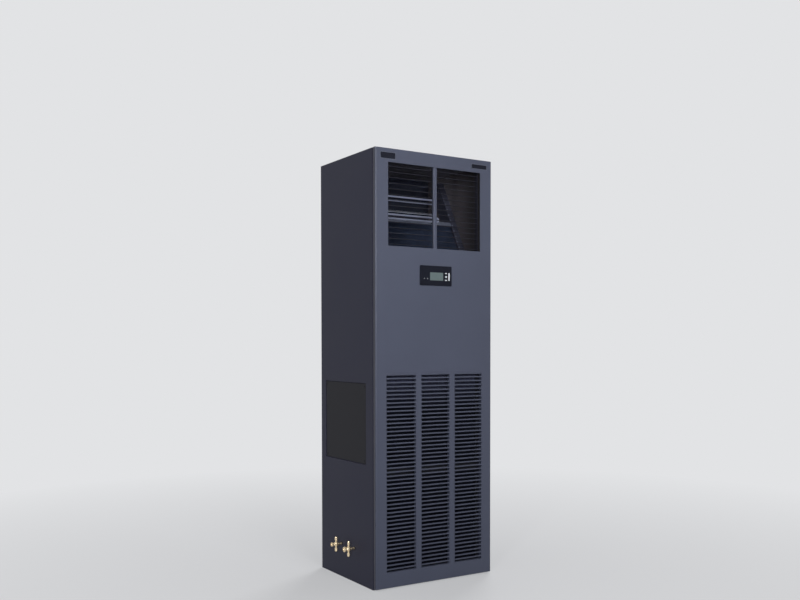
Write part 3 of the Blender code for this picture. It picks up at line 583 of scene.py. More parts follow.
def crystal_display(name, colour):
    """Unlit liquid crystal panel: a faint dot grid behind a clear window."""
    shader = Shader(name)
    dots = (shader.axis("X") * DOT_WAVE).wave() * (shader.axis("Z") * DOT_WAVE).wave()
    depth = shader.noise(scale=30.0)
    base = shader.veil(colour, dots.above(0.2), share=0.3, over=toned(colour, 0.82))
    base = shader.veil(base, depth, share=0.3, over=toned(colour, 1.15))
    return shader.finish(Base_Color=base, Roughness=shader.spread(depth, 0.2, 0.28),
                         Coat_Weight=1.0, Coat_Roughness=0.05)


# Door and cabinet wear one paint: the door's tone is painted lighter as painted light, the
# cabinet's darker as painted shade.
LIT_DOOR_TONE = tint(75, 80, 98)
SHADED_CABINET_TONE = tint(56, 57, 74)
FILTER_TONE = tint(21, 22, 31)
REAR_LINER_LIT_HEAD = 1.775
UPPER_FILTER_LIT_HEAD = 0.76

door_paint = powder_coat("satin_blue_grey_coat_lit_door", LIT_DOOR_TONE, roughness=0.33, gloss=0.34,
                         shaded_returns=SHADED_CABINET_TONE)
cabinet_paint = powder_coat("satin_blue_grey_coat_shaded_cabinet", SHADED_CABINET_TONE, roughness=0.5,
                            gloss=0.14)
cover_paint = matte_paint("matte_dark_grey_cover_paint", tint(44, 44, 49))
dark_sheet = matte_paint("dark_sheet_paint", tint(27, 27, 33))
zinc_sheet = zinc_coat("dull_zinc_sheet", tint(150, 156, 168))
plated_steel = zinc_coat("plated_steel", tint(176, 178, 182))
heater_steel = drawn_tube("drawn_heater_tube", tint(166, 175, 206))
sensor_steel = drawn_tube("bright_sensor_tube", tint(226, 234, 252), metallic=0.35)
copper_tube = drawn_tube("drawn_copper_tube", tint(190, 118, 86))
brass = turned_brass("turned_brass", tint(255, 234, 196))
coil_fins = coated_fin("dark_blue_fin_coat", tint(73, 85, 112))
# Painted shade: the side liners' foam is darkened towards the front.
foam = cell_foam("brown_grey_cell_foam", tint(108, 104, 110), front_shade=0.66)
# Painted shade: the rear liner is a darker copy of the liner foam, with painted light making it
# paler near its top.
shaded_foam = cell_foam("shaded_rear_cell_foam", tint(46, 50, 62), head=REAR_LINER_LIT_HEAD)
# Painted light: the roof's lining is a paler copy of the liner foam.
lit_roof_foam = cell_foam("lit_roof_cell_foam", tint(122, 120, 132))
blade_paint = matte_paint("dark_blade_paint", tint(47, 47, 57))
sleeve_paint = matte_paint("dark_sleeve_paint", tint(46, 44, 47))
# Painted shade: the coil's cheeks get a darker, bluer copy of the zinc.
shaded_cheek_zinc = zinc_coat("zinc_sheet_painted_shade_cheeks", tint(86, 89, 108))
# Painted shadow: the coil's header gets a darker zinc for the heaters' shadow on it.
shaded_header_zinc = zinc_coat("zinc_sheet_painted_shade_header", tint(128, 134, 154))
gasket_rubber = soft_rubber("black_gasket_rubber", tint(24, 24, 26))
filter_media = filter_cloth("dark_filter_cloth", FILTER_TONE)
# Painted light: the upper filter's cloth is paler near its top.
lit_top_media = filter_cloth("filter_cloth_painted_light_top", FILTER_TONE, head=UPPER_FILTER_LIT_HEAD)
black_plastic = moulded_plastic("black_display_moulding", tint(27, 29, 39), 0.34, 0.06)
key_plastic = moulded_plastic("black_key_membrane", tint(25, 27, 35), 0.42, 0.06)
mark_plastic = moulded_plastic("pale_key_print", tint(226, 230, 238), 0.5)
badge_plastic = moulded_plastic("dark_badge_plate", tint(30, 32, 42), 0.36, 0.08)
badge_rim = moulded_plastic("pale_badge_rim", tint(104, 110, 124), 0.4, 0.15)
lamp_lens = moulded_plastic("smoked_lamp_lens", tint(132, 136, 142), 0.2)
screen_glass = crystal_display("grey_green_crystal_display", tint(80, 98, 100))

FINISHES = {
    "door_paint": door_paint, "cabinet_paint": cabinet_paint, "cover_paint": cover_paint,
    "dark_sheet": dark_sheet, "zinc_sheet": zinc_sheet, "coil_fins": coil_fins,
    "heater_steel": heater_steel, "brass": brass, "foam": foam, "gasket_rubber": gasket_rubber,
    "filter_media": filter_media, "black_plastic": black_plastic, "screen_glass": screen_glass,
    "key_plastic": key_plastic,
}
OWN_FINISHES = {
    "plenum_liner_rear": shaded_foam, "outlet_blades": blade_paint,
    "outlet_sleeve": sleeve_paint, "coil_cheek_left": shaded_cheek_zinc,
    "coil_cheek_right": shaded_cheek_zinc, "coil_header": shaded_header_zinc,
    "heater_sensor_tube": sensor_steel, "air_filter_upper": lit_top_media,
}
EDGE_RADIUS = 0.0008
OWN_EDGE_RADII = {
    "intake_grille_left": 0.0003, "intake_grille_middle": 0.0003,
    "intake_grille_right": 0.0003, "outlet_blades": 0.0003, "outlet_sleeve": 0.0004,
    "door_panel": 0.0005, "display_housing": 0.0003, "display_screen": 0.0002,
    "display_keypad": 0.0002,
}
EDGE_ANGLE = math.radians(35.0)


def dress_nodes():
    """Every solid gets its finish, and all but the pleats have their edges broken a little."""
    slots = {row["node"]: row["material_slot"] for row in frame["record"]["subparts"]}
    for name, node in nodes.items():
        pleated = name.startswith("air_filter")
        node.data.materials.clear()
        node.data.materials.append(OWN_FINISHES.get(name, FINISHES[slots[name]]))
        node.data.polygons.foreach_set("use_smooth", [not pleated] * len(node.data.polygons))
        weld = node.modifiers.new("weld", "WELD")
        weld.merge_threshold = MERGE_DISTANCE
        if pleated:
            continue
        flats = node.modifiers.new("flats", "DECIMATE")
        flats.decimate_type = "DISSOLVE"
        flats.angle_limit = FLAT_ANGLE
        edges = node.modifiers.new("edges", "BEVEL")
        edges.width = OWN_EDGE_RADII.get(name, EDGE_RADIUS)
        edges.segments = SOFT_SEGMENTS
        edges.limit_method = "ANGLE"
        edges.angle_limit = EDGE_ANGLE
        evened = node.modifiers.new("evened", "WEIGHTED_NORMAL")
        evened.mode = "FACE_AREA"
        evened.weight = NORMAL_WEIGHT


# Fasteners

FASTENER_ANGLE = 35.0
NUT_SIDES = 6


def button_screw(name, radius, height):
    """Button-head screw with a socket, standing on the XY plane."""
    return turned(name, [(radius, -0.0004), (radius, height * 0.45), (radius * 0.88, height * 0.8),
                         (radius * 0.66, height), (radius * 0.42, height),
                         (radius * 0.38, height * 0.35)], 16)


def hex_nut(name, radius, height):
    """Hexagon nut with a stud end, standing on the XY plane."""
    nut = turned(name, [(radius * 0.92, -0.0002), (radius, height * 0.15),
                        (radius, height * 0.85), (radius * 0.88, height)], NUT_SIDES)
    stud = turned(name + "_stud", [(radius * 0.5, height * 0.5), (radius * 0.5, height * 1.5),
                                   (radius * 0.4, height * 1.65)], 14)
    return merged(name, [nut, stud])


def set_screws(name, points, axis, radius, height, material, body, maker=button_screw):
    """One kind of fastener at many points."""
    screw = smooth(maker(name, radius, height), FASTENER_ANGLE)
    made = repeat(screw, [aimed(point, axis) for point in points])
    return dress(made, material, body)


# Door

# Name, distances of the plate's sides from the door's left edge, heights of its foot and head
BADGES = (
    ("badge_left", 0.0247, 0.0990, 1.8050, 1.8335),
    ("badge_right", 0.4895, 0.5735, 1.8090, 1.8305),
)
BADGE_THICKNESS = 0.0016
BADGE_RIM = 0.0016
BADGE_SINK = 0.0006
BADGE_EDGE = 0.0019


def badge(name, low_x, high_x, low_z, high_z):
    """Blank name plate: a dark field in a pale rim, stuck on the door's face."""
    face = FRONT - BADGE_THICKNESS
    plate = slab(name, (low_x, face, low_z), (high_x, FRONT + 0.0002, high_z))
    with Edit(plate) as edit:
        edit.faces(front_face)
        edit.inset(BADGE_RIM)
        edit.extrude((0.0, BADGE_SINK, 0.0))
    dress(soften(plate, 0.0003), badge_rim, DOOR)
    field = slab(name + "_field", (low_x + BADGE_EDGE, face + 0.0003, low_z + BADGE_EDGE),
                 (high_x - BADGE_EDGE, face + 0.0009, high_z - BADGE_EDGE))
    dress(soften(field, 0.0001), badge_plastic, DOOR)


def badges():
    for name, start, end, foot, head in BADGES:
        badge(name, LEFT + start, LEFT + end, foot, head)


# The screen and the keys are drawn a few millimetres left of their solids' sides.
SCREEN_LEFT_SHIFT, SCREEN_RIGHT_SHIFT = 0.0030, 0.0060
KEYS_LEFT_SHIFT, KEYS_RIGHT_SHIFT = 0.0040, 0.0030
CASE_SINK = 0.0004
KEY_RISE = 0.0002

PLATE_LOW, PLATE_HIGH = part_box("display_housing")
SCREEN_LOW, SCREEN_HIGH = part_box("display_screen")
SCREEN_LOW.x -= SCREEN_LEFT_SHIFT
SCREEN_HIGH.x -= SCREEN_RIGHT_SHIFT
KEYS_LOW, KEYS_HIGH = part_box("display_keypad")
KEYS_LOW.x -= KEYS_LEFT_SHIFT
KEYS_HIGH.x -= KEYS_RIGHT_SHIFT
PLATE_FACE = PLATE_LOW.y + CASE_SINK
KEY_FACE = PLATE_FACE - KEY_RISE

CASE_CORNER = 0.0030
CASE_RIM = 0.0014
WINDOW_TAPER = (0.97, 1.0, 0.94)
PANE_MARGIN = 0.0006
PANE_FRAME = 0.0016
KEYS_CORNER = 0.0022

ARROW_HALF_WIDTH, ARROW_HALF_HEIGHT = 0.0068, 0.0022
ARROW_OFFSET = 0.0150
ARROW_TIP = 0.35
DOT_LEFT, DOT_RIGHT, DOT_HALF_HEIGHT = 0.0040, 0.0048, 0.0040
BAR_INSET, BAR_WIDTH, BAR_HALF_HEIGHT = 0.0112, 0.0072, 0.0168
MARK_SOFTNESS = 0.00003
LAMP_LENS = [(0.0026, -0.0006), (0.0026, 0.0001), (0.0020, 0.00025), (0.0010, 0.0003)]
LAMP_LEVEL = 1.3158
LAMP_DISTANCES = (0.2400, 0.2560)


def rounded_box(name, low, high, corner, softness):
    """A thin plate seen from the front, with rounded corners."""
    plate = slab(name, low, high)
    with Edit(plate) as edit:
        edit.edges(depth_edge)
        edit.bevel(corner)
    return soften(plate, softness)


def display_case():
    """Display: a moulded case with a low rim, the screen sunk in its window, and the keys."""
    case = slab("display_case", PLATE_LOW, PLATE_HIGH)
    with Edit(case) as edit:
        edit.edges(depth_edge)
        edit.bevel(CASE_CORNER)
        edit.faces(front_face)
        edit.inset(CASE_RIM)
        edit.extrude((0.0, PLATE_FACE - PLATE_LOW.y, 0.0))
    window = slab("window", (SCREEN_LOW.x, PLATE_LOW.y - 0.001, SCREEN_LOW.z),
                  (SCREEN_HIGH.x, PLATE_FACE + 0.0011, SCREEN_HIGH.z))
    with Edit(window) as edit:
        edit.faces(lambda middle, normal: normal.y > FACING)
        edit.resize(WINDOW_TAPER, (SCREEN_LOW + SCREEN_HIGH) / 2)
    cut(case, window)
    soften(case, 0.00025)
    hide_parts("display_housing")
    dress(case, black_plastic, DOOR)
    pane = slab("screen_pane",
                (SCREEN_LOW.x + PANE_MARGIN, PLATE_FACE + 0.0007, SCREEN_LOW.z + PANE_MARGIN),
                (SCREEN_HIGH.x - PANE_MARGIN, PLATE_FACE + 0.0012, SCREEN_HIGH.z - PANE_MARGIN))
    with Edit(pane) as edit:
        edit.faces(front_face)
        edit.inset(PANE_FRAME)
        edit.extrude((0.0, 0.0001, 0.0))
    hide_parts("display_screen")
    dress(pane, screen_glass, DOOR)
    keys = rounded_box("key_membrane", (KEYS_LOW.x, KEY_FACE, KEYS_LOW.z),
                       (KEYS_HIGH.x, PLATE_FACE + 0.0004, KEYS_HIGH.z), KEYS_CORNER, 0.0001)
    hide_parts("display_keypad")
    dress(keys, key_plastic, DOOR)


def display_marks():
    """Printed key marks: two arrows and a dot, a bar at the right, and two small lamps."""
    front, back = PLATE_LOW.y, KEY_FACE + 0.0001
    middle_x, middle_z = KEYS_LOW.x + 0.0085, (KEYS_LOW.z + KEYS_HIGH.z) / 2
    pieces = []
    for side in (1, -1):
        level = middle_z + side * ARROW_OFFSET
        arrow = slab("arrow", (middle_x - ARROW_HALF_WIDTH, front, level - ARROW_HALF_HEIGHT),
                     (middle_x + ARROW_HALF_WIDTH, back, level + ARROW_HALF_HEIGHT))
        with Edit(arrow) as edit:
            edit.faces(lambda middle, normal: normal.z * side > FACING)
            edit.resize((ARROW_TIP, 1.0, 1.0), (middle_x, front, level))
        pieces.append(arrow)
    pieces.append(rounded_box("dot", (middle_x - DOT_LEFT, front, middle_z - DOT_HALF_HEIGHT),
                              (middle_x + DOT_RIGHT, back, middle_z + DOT_HALF_HEIGHT),
                              0.0028, MARK_SOFTNESS))
    bar_x = KEYS_HIGH.x - BAR_INSET
    pieces.append(rounded_box("bar", (bar_x, front, middle_z - BAR_HALF_HEIGHT),
                              (bar_x + BAR_WIDTH, back, middle_z + BAR_HALF_HEIGHT),
                              0.0026, MARK_SOFTNESS))
    dress(merged("key_marks", pieces), mark_plastic, DOOR)
    lens = smooth(turned("display_lamps", LAMP_LENS, 20), 40.0)
    places = [aimed((LEFT + x, PLATE_FACE, LAMP_LEVEL), TO_FRONT) for x in LAMP_DISTANCES]
    dress(repeat(lens, places), lamp_lens, DOOR)


def sleeve_nuts():
    """Nuts that hold the outlet sleeve's flange on the door's studs."""
    low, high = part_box("outlet_sleeve")
    flange = 0.0015
    inset = 0.005
    back = low.y + flange
    points = []
    for x in (low.x + inset, (low.x + high.x) / 2, high.x - inset):
        for z in (low.z + inset, high.z - inset):
            points.append((x, back, z))
    for of_low, of_high in ((0.6, 0.4), (0.3, 0.7)):
        z = low.z * of_low + high.z * of_high
        points += [(low.x + inset, back, z), (high.x - inset, back, z)]
    set_screws("sleeve_nuts", points, TO_BACK, 0.0042, 0.0036, plated_steel, DOOR,
               hex_nut)


def liner_washers():
    """Washers on pins that hold the insulation board inside the door."""
    low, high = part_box("door_liner")
    inset = 0.06
    washer = turned("liner_washers", [(0.014, -0.0003), (0.014, 0.0006), (0.012, 0.0011),
                                      (0.004, 0.0004), (0.0018, 0.0004), (0.0016, 0.0022),
                                      (0.0008, 0.0026)], 24)
    smooth(washer, FASTENER_ANGLE)
    places = []
    for x in (low.x + inset, (low.x + high.x) / 2, high.x - inset):
        for z in (low.z + inset, high.z - inset):
            places.append(aimed((x, high.y, z), TO_BACK))
    dress(repeat(washer, places), plated_steel, DOOR)


# Outlet plenum

COIL_LOW, COIL_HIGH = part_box("coil_block")
COIL_RISE = math.radians(62.0)
COIL_FACE = 0.164
COIL_DEPTH = 0.050
SLOPE_TURN = Matrix.Rotation(COIL_RISE, 4, "X")
FIN_PITCH = 0.0034
FIN_THICKNESS = 0.0005
FIN_EDGE = 0.4
# Share of the coil's depth at which a row of tubes lies, and its first tube's distance up it
TUBE_ROWS = ((0.25, 0.0130), (0.75, 0.0255))
TUBES_IN_ROW = 6
TUBE_PITCH = 0.0250
TUBE_RADIUS = 0.0048
CHEEK_FACE = 0.004
CHEEK_HEM = 0.006
RIVETS_IN_HEM = 13
FIRST_RIVET, RIVET_PITCH = 0.018, 0.030
HEATER_RADIUS = 0.0042
STRAP_X, STRAP_WIDTH = 0.046, 0.010
STRAP_FRONT, STRAP_BACK = 0.0043, 0.0058
STRAP_OVERHANG = 0.010


def on_slope(along, out, x=0.0):
    """A point at a distance up the coil's face and out of it."""
    up = Vector((0.0, math.cos(COIL_RISE), math.sin(COIL_RISE)))
    face = Vector((0.0, -math.sin(COIL_RISE), math.cos(COIL_RISE)))
    foot = Vector((0.0, COIL_LOW.y, COIL_HIGH.z - COIL_FACE * math.sin(COIL_RISE)))
    return foot + up * along + face * out + Vector((x, 0.0, 0.0))


def fin_pack():
    """Cooling coil: a pack of thin fins with the tubes through them."""
    first = COIL_LOW.x + FIN_THICKNESS
    fin = slab("coil_fin_pack", (first, 0.0, -COIL_DEPTH),
               (first + FIN_THICKNESS, COIL_FACE, 0.0))
    with Edit(fin) as edit:
        edit.faces(upper_face)
        edit.extrude((0.0, 0.0, 0.0))
        edit.resize((FIN_EDGE, 1.0, 1.0), (first + FIN_THICKNESS / 2, 0.0, 0.0))
    only(fin)
    pack = fin.modifiers.new("pack", "ARRAY")
    pack.use_relative_offset = False
    pack.use_constant_offset = True
    pack.constant_offset_displace = (FIN_PITCH, 0.0, 0.0)
    pack.count = int((COIL_HIGH.x - COIL_LOW.x - 2 * FIN_THICKNESS) / FIN_PITCH)
    bpy.ops.object.modifier_apply(modifier=pack.name)
    placed(fin, Matrix.Translation(on_slope(0.0, 0.0)) @ SLOPE_TURN)
    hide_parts("coil_block")
    dress(fin, coil_fins, CABINET)
    span = COIL_HIGH.x - COIL_LOW.x
    tubes = []
    for depth, first_tube in TUBE_ROWS:
        for index in range(TUBES_IN_ROW):
            start = on_slope(first_tube + index * TUBE_PITCH, -depth * COIL_DEPTH, COIL_LOW.x)
            tube = turned("tube", [(TUBE_RADIUS, 0.0), (TUBE_RADIUS, span)], 12)
            tubes.append(placed(tube, aimed(start, TO_RIGHT)))
    dress(smooth(merged("coil_tubes", tubes), 40.0), copper_tube, CABINET)


def cheek_rivets():
    """Dome rivets up the hems of the coil's cheek plates."""
    rivet = turned("cheek_rivets", [(0.0032, -0.0003), (0.0031, 0.0007), (0.0023, 0.0016),
                                    (0.0010, 0.0020)], 14)
    smooth(rivet, 50.0)
    out = on_slope(0.0, 1.0) - on_slope(0.0, 0.0)
    reach = COIL_HIGH.x + CHEEK_HEM
    places = [aimed(on_slope(FIRST_RIVET + step * RIVET_PITCH, CHEEK_FACE, side * reach), out)
              for side in (-1, 1) for step in range(RIVETS_IN_HEM)]
    # The rivets wear the header's zinc, darkened as painted shade.
    dress(repeat(rivet, places), shaded_header_zinc, CABINET)


def heater_fittings():
    """Compression nuts where the heaters' legs enter, and the strap that steadies them."""
    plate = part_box("heater_terminal_plate")[1].x
    y = (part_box("heater_lower")[0].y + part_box("heater_lower")[1].y) / 2
    levels = []
    for node in ("heater_lower", "heater_upper"):
        low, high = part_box(node)
        levels += [low.z + HEATER_RADIUS, high.z - HEATER_RADIUS]
    nut = turned("heater_nuts", [(0.0078, 0.0), (0.0084, 0.001), (0.0084, 0.0065),
                                 (0.0074, 0.0075), (0.0056, 0.0075), (0.0052, 0.0120)], NUT_SIDES)
    smooth(nut, FASTENER_ANGLE)
    dress(repeat(nut, [aimed((plate, y, z), TO_RIGHT) for z in levels]), brass, CABINET)
    strap = slab("heater_strap", (STRAP_X, y + STRAP_FRONT, levels[0] - STRAP_OVERHANG),
                 (STRAP_X + STRAP_WIDTH, y + STRAP_BACK, levels[-1] + STRAP_OVERHANG))
    with Edit(strap) as edit:
        edit.faces(upper_face)
        edit.extrude((0.0, 0.0, 0.004))
        edit.extrude((0.0, 0.018, 0.010))
    dress(soften(strap, 0.0003), dark_sheet, CABINET)


# Valves on the left side

VALVE_STANDOFF = 0.028
FOOT_CAP_RADIUS = 0.0064


def service_valve(node, name, nut_radius, cap_radius):
    """Brass service valve: forged body, two capped stems, a flare nut, its pipe and a collar."""
    low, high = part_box(node)
    place = Vector((LEFT - VALVE_STANDOFF, (low.y + high.y) / 2, (low.z + high.z) / 2))
    core = turned("core", [(0.0036, -0.0180), (0.0044, -0.0175), (0.0044, -0.0100),
                           (0.0080, -0.0072), (0.0085, -0.0030), (0.0085, 0.0030),
                           (0.0080, 0.0072), (0.0044, 0.0100), (0.0044, 0.0175),
                           (0.0036, 0.0180)], 24)
    pieces = [placed(core, Matrix.Translation(place))]
    for side, radius in ((1, cap_radius), (-1, FOOT_CAP_RADIUS)):
        flats = turned("flats", [(radius * 0.8, 0.0172), (radius * 1.04, 0.0178),
                                 (radius * 1.04, 0.0250), (radius * 0.86, 0.0262)], NUT_SIDES)
        dome = turned("dome", [(radius * 0.9, 0.0255), (radius * 0.96, 0.0275),
                               (radius * 0.96, 0.0300), (radius * 0.8, 0.0325),
                               (radius * 0.4, 0.0338)], 20)
        for piece in (flats, dome):
            pieces.append(placed(piece, aimed(place, (0, 0, side))))
    neck = turned("neck", [(0.0066, 0.0), (0.0062, 0.0100), (0.0050, 0.0120), (0.0058, 0.0135),
                           (0.0058, 0.0165)], 20)
    nut = turned("nut", [(nut_radius * 0.72, 0.0148), (nut_radius * 0.97, 0.0156),
                         (nut_radius, 0.0166), (nut_radius, 0.0216),
                         (nut_radius * 0.94, 0.0226)], NUT_SIDES)
    rim = turned("rim", [(nut_radius * 0.84, 0.0218), (nut_radius * 0.82, 0.0236),
                         (nut_radius * 0.62, 0.0242), (nut_radius * 0.52, 0.0242),
                         (nut_radius * 0.48, 0.0218)], 24)
    for piece in (neck, nut, rim):
        pieces.append(placed(piece, aimed(place, TO_LEFT)))
    pipe = turned("pipe", [(0.0064, 0.0), (0.0066, 0.0110), (0.0052, 0.0125),
                           (0.0052, 0.0285)], 20)
    pieces.append(placed(pipe, aimed(place, TO_RIGHT)))
    body = smooth(merged(name, pieces), 32.0)
    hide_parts(node)
    dress(body, brass, CABINET)
    collar = turned(name + "_collar", [(0.0056, 0.0), (0.0086, 0.0), (0.0088, 0.0008),
                                       (0.0078, 0.0014), (0.0056, 0.0016), (0.0054, 0.0008)], 24)
    placed(collar, aimed((LEFT, place.y, place.z), TO_LEFT))
    dress(smooth(collar, 40.0), gasket_rubber, CABINET)


# Cabinet

COUNTERSINK = [(0.0020, -0.0030), (0.0052, 0.0001), (0.0052, 0.0012)]
FLAT_HEAD = [(0.0018, -0.0030), (0.0048, -0.0004), (0.0046, -0.0001), (0.0022, -0.0001),
             (0.0020, -0.0016)]
SIDE_INSET = 0.014
SINK_SIDES = 24


def cover_screws():
    """Screws in the corners of the service cover."""
    low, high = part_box("service_cover")
    inset = 0.012
    points = [(low.x, y, z) for y in (low.y + inset, high.y - inset)
              for z in (low.z + inset, high.z - inset)]
    set_screws("cover_screws", points, TO_LEFT, 0.0034, 0.0016, cover_paint, CABINET)


def sunk_screws(node, points, axis, name, lining=None):
    """Countersunk screws in a panel, which may have a lining on its inner side.

    A cone is cut at each point, and a flat head set in it.
    """
    panel = twin(node, node + "_drilled")
    axis = Vector(axis)
    cone = turned("cone", COUNTERSINK, SINK_SIDES)
    cut(panel, repeat(cone, [aimed(point, axis) for point in points]))
    soften(panel, EDGE_RADIUS)
    dress(panel, cabinet_paint, CABINET)
    if lining:
        panel.data.materials.append(lining)
        panel.active_material_index = 1
        with Edit(panel) as edit:
            edit.faces(lambda middle, normal: normal.dot(axis) < -FACING)
            bpy.ops.object.material_slot_assign()
    head = smooth(turned(name, FLAT_HEAD, SINK_SIDES), FASTENER_ANGLE)
    made = repeat(head, [aimed(point, axis) for point in points])
    dress(made, plated_steel, CABINET)


def panel_screws():
    """Screws along the edges of the rear and top panels."""
    low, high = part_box("rear_panel")
    end, middle, end_inset = 0.06, 0.15, 0.016
    rear = [(x, high.y, low.z + end + step * (high.z - low.z - 2 * end) / 6)
            for x in (low.x + SIDE_INSET, high.x - SIDE_INSET) for step in range(7)]
    rear += [(low.x + middle + step * (high.x - low.x - 2 * middle) / 2, high.y, z)
             for z in (low.z + end_inset, high.z - end_inset) for step in range(3)]
    sunk_screws("rear_panel", rear, TO_BACK, "rear_panel_screws")
    low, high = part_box("top_panel")
    end = 0.03
    top = [(x, low.y + end + step * (high.y - low.y - 2 * end) / 3, high.z)
           for x in (low.x + SIDE_INSET, high.x - SIDE_INSET) for step in range(4)]
    sunk_screws("top_panel", top, UPWARDS, "top_panel_screws", lit_roof_foam)


# Behind the door

WIRES_ACROSS, WIRES_UP = 20, 4
WIRE_THICKNESS = 0.0016
GUARD_GAP = 0.0012
GUARD_BORDER = 0.012
RIM_OVERLAP = 0.002
BOX_MARGIN = 0.012
BOX_PLATE = 0.0016
BOX_SCREW_INSET = 0.019


def filter_guard(node):
    """Welded wire guard on the face of an air filter, in a flat frame."""
    low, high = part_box(node)
    width = high.x - low.x - 2 * GUARD_BORDER
    height = high.z - low.z - 2 * GUARD_BORDER
    bpy.ops.object.select_all(action="DESELECT")
    bpy.ops.mesh.primitive_grid_add(x_subdivisions=WIRES_ACROSS, y_subdivisions=WIRES_UP,
                                    size=1.0)
    guard = settle(bpy.context.object, node.replace("air_filter", "wire_guard"))
    centre = ((low.x + high.x) / 2, low.y - GUARD_GAP, (low.z + high.z) / 2)
    placed(guard, Matrix.Translation(centre) @ Matrix.Rotation(math.pi / 2, 4, "X")
           @ Matrix.Diagonal((width, height, 1.0, 1.0)))
    wire = guard.modifiers.new("wire", "WIREFRAME")
    wire.thickness = WIRE_THICKNESS
    wire.use_even_offset = False
    bpy.ops.object.modifier_apply(modifier=wire.name)
    dress(guard, dark_sheet, CABINET)
    rim = slab(node.replace("air_filter", "filter_rim"), (low.x, low.y - GUARD_GAP, low.z),
               (high.x, low.y - 0.0002, high.z))
    with Edit(rim) as edit:
        edit.faces(lambda middle, normal: abs(normal.y) > FACING)
        edit.inset(GUARD_BORDER + RIM_OVERLAP)
        bpy.ops.mesh.bridge_edge_loops()
    dress(soften(rim, 0.0003), dark_sheet, CABINET)


def electrics_front():
    """Cover of the electrical box with its screws."""
    low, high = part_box("electrics_box")
    plate = slab("electrics_plate",
                 (low.x + BOX_MARGIN, low.y - BOX_PLATE, low.z + BOX_MARGIN),
                 (high.x - BOX_MARGIN, low.y + 0.0004, high.z - BOX_MARGIN))
    with Edit(plate) as edit:
        edit.faces(front_face)
        edit.inset(0.014)
        edit.extrude((0.0, -0.0012, 0.0))
        edit.inset(0.002)
    dress(soften(plate, 0.0004), dark_sheet, CABINET)
    points = [(x, low.y - BOX_PLATE, z)
              for x in (low.x + BOX_SCREW_INSET, 0.0, high.x - BOX_SCREW_INSET)
              for z in (low.z + BOX_SCREW_INSET, high.z - BOX_SCREW_INSET)]
    set_screws("electrics_screws", points, TO_FRONT, 0.0040, 0.0020, plated_steel, CABINET)


# Camera, floor and lamps

IMAGE_WIDTH, IMAGE_HEIGHT = 800, 600
FOCAL_PIXELS = 904.1
PRINCIPAL = (410.96, 370.87)
SENSOR = 36.0
CAMERA_PLACE = (-2.1757, -3.5006, 1.0318)
CAMERA_DIP, CAMERA_ROLL, CAMERA_HEADING = 1.651, 0.052, -32.234

BACKDROP = tint(226, 227, 229)
FLOOR_TONE = tint(110, 110, 112)
FLOOR_SIZE = 60.0
FLOOR_DROP = 0.0005
FLOOR_GLOW = 0.45
FADE_REACH = 6.0
ROOM_LIGHT = 0.23
ROOM_TINT = (0.96, 0.96, 1.0, 1.0)

# Name, place, point that it's aimed at, width and height, watts, spread of its beam in degrees
LAMPS = (
    ("front_softbox", (-0.6, -4.4, 2.3), (-0.3, 0.0, 1.35), (2.2, 1.6), 19.4, 70.0),
    ("left_strip", (-4.4, -4.1, 1.6), (0.0, 0.0, 1.0), (0.5, 2.6), 84.0, 180.0),
    ("rear_softbox", (4.2, 3.6, 5.6), (0.0, 0.0, 1.0), (2.5, 2.5), 200.0, 180.0),
    ("window_glow", (-0.8, -3.4, 0.3), (0.0, -0.1, 1.78), (0.5, 0.3), 0.16, 16.0),
)


def camera():
    """The photo's camera: its focal length, image centre, place and direction."""
    data = bpy.data.cameras.new("camera")
    data.sensor_width = SENSOR
    data.lens = FOCAL_PIXELS * SENSOR / IMAGE_WIDTH
    data.shift_x = 0.5 - PRINCIPAL[0] / IMAGE_WIDTH
    data.shift_y = (PRINCIPAL[1] - IMAGE_HEIGHT / 2) / IMAGE_WIDTH
    viewer = bpy.data.objects.new("camera", data)
    bpy.context.scene.collection.objects.link(viewer)
    viewer.location = CAMERA_PLACE
    viewer.rotation_euler = (math.radians(90.0 - CAMERA_DIP), math.radians(CAMERA_ROLL),
                             math.radians(CAMERA_HEADING))
    bpy.context.scene.camera = viewer


def straight_view(tree):
    """1 where a backdrop is looked at, also in a mirror or through glass, 0 where it lights."""
    return (tree.node("ShaderNodeLightPath", output="Is Camera Ray")
            + tree.node("ShaderNodeLightPath", output="Is Glossy Ray")
            + tree.node("ShaderNodeLightPath", output="Is Transmission Ray"))


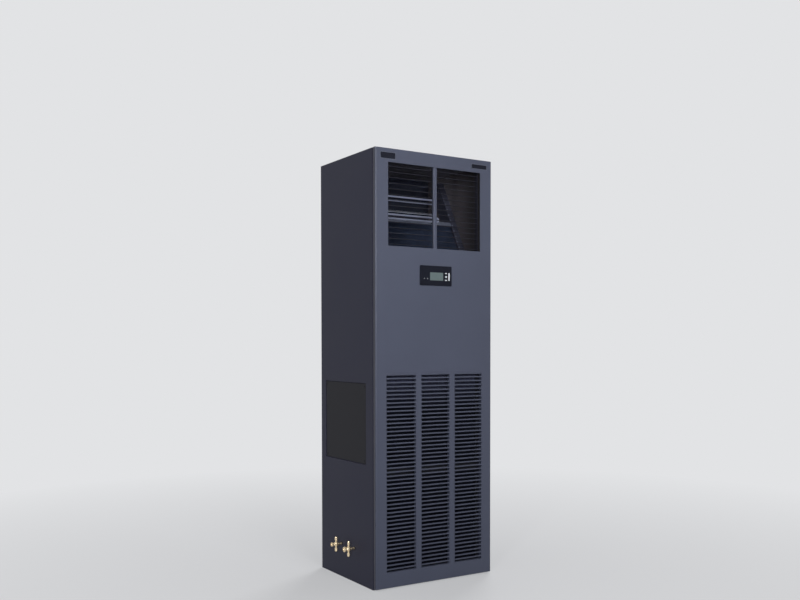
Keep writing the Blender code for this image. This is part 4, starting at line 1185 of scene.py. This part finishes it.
def studio_floor():
    """Pale floor that takes the shadow and fades into the backdrop further out."""
    bpy.ops.object.select_all(action="DESELECT")
    bpy.ops.mesh.primitive_plane_add(size=FLOOR_SIZE, location=(0.0, 0.0, -FLOOR_DROP))
    floor = settle(bpy.context.object, "studio_floor")
    shader = Shader("pale_studio_floor")
    seen = straight_view(shader)
    shader.finish(Base_Color=shader.mix(seen, FLOOR_TONE, BACKDROP), Roughness=0.9,
                  Specular_IOR_Level=0.1)
    reach = shader.node("ShaderNodeVectorMath", {"operation": "LENGTH"}, {0: shader.place},
                        "Value")
    far = shader.steps(reach / FADE_REACH, (0.08, FLOOR_GLOW), (0.6, 1.0))
    glow = shader.node("ShaderNodeEmission", {}, {"Color": BACKDROP, "Strength": 1.0})
    lit = Signal(shader, shader.surface.outputs[0])
    blend = shader.node("ShaderNodeMixShader", {}, {0: seen * far, 1: lit, 2: glow})
    shader.feed(shader.tree.nodes["Material Output"].inputs["Surface"], blend)
    floor.data.materials.append(shader.material)


def studio_world():
    """The backdrop where it's looked at, and a dimmer room light on everything else."""
    world = bpy.data.worlds.new("studio")
    bpy.context.scene.world = world
    world.use_nodes = True
    tree = Tree(world.node_tree)
    background = tree.tree.nodes["Background"]
    background.inputs["Color"].default_value = BACKDROP
    shown = Signal(tree, background.outputs[0])
    lit = tree.node("ShaderNodeBackground", {}, {"Color": ROOM_TINT, "Strength": ROOM_LIGHT})
    blend = tree.node("ShaderNodeMixShader", {}, {0: straight_view(tree), 1: lit, 2: shown})
    tree.feed(tree.tree.nodes["World Output"].inputs["Surface"], blend)


def studio():
    """Floor, backdrop and lamps."""
    studio_floor()
    studio_world()
    for name, place, aim, (width, height), watts, spread in LAMPS:
        data = bpy.data.lights.new(name, "AREA")
        data.shape = "RECTANGLE"
        data.size = width
        data.size_y = height
        data.energy = watts
        data.spread = math.radians(spread)
        lamp = bpy.data.objects.new(name, data)
        bpy.context.scene.collection.objects.link(lamp)
        lamp.location = place
        lamp.rotation_euler = (Vector(aim) - Vector(place)).to_track_quat("-Z", "Y").to_euler()


camera()
studio()
dress_nodes()
badges()
display_case()
display_marks()
sleeve_nuts()
liner_washers()
fin_pack()
cheek_rivets()
heater_fittings()
service_valve("front_service_valve", "front_valve", nut_radius=0.0125, cap_radius=0.0054)
service_valve("rear_service_valve", "rear_valve", nut_radius=0.0100, cap_radius=0.0064)
cover_screws()
panel_screws()
filter_guard("air_filter_lower")
filter_guard("air_filter_upper")
electrics_front()

bpy.context.scene.view_settings.view_transform = "Standard"
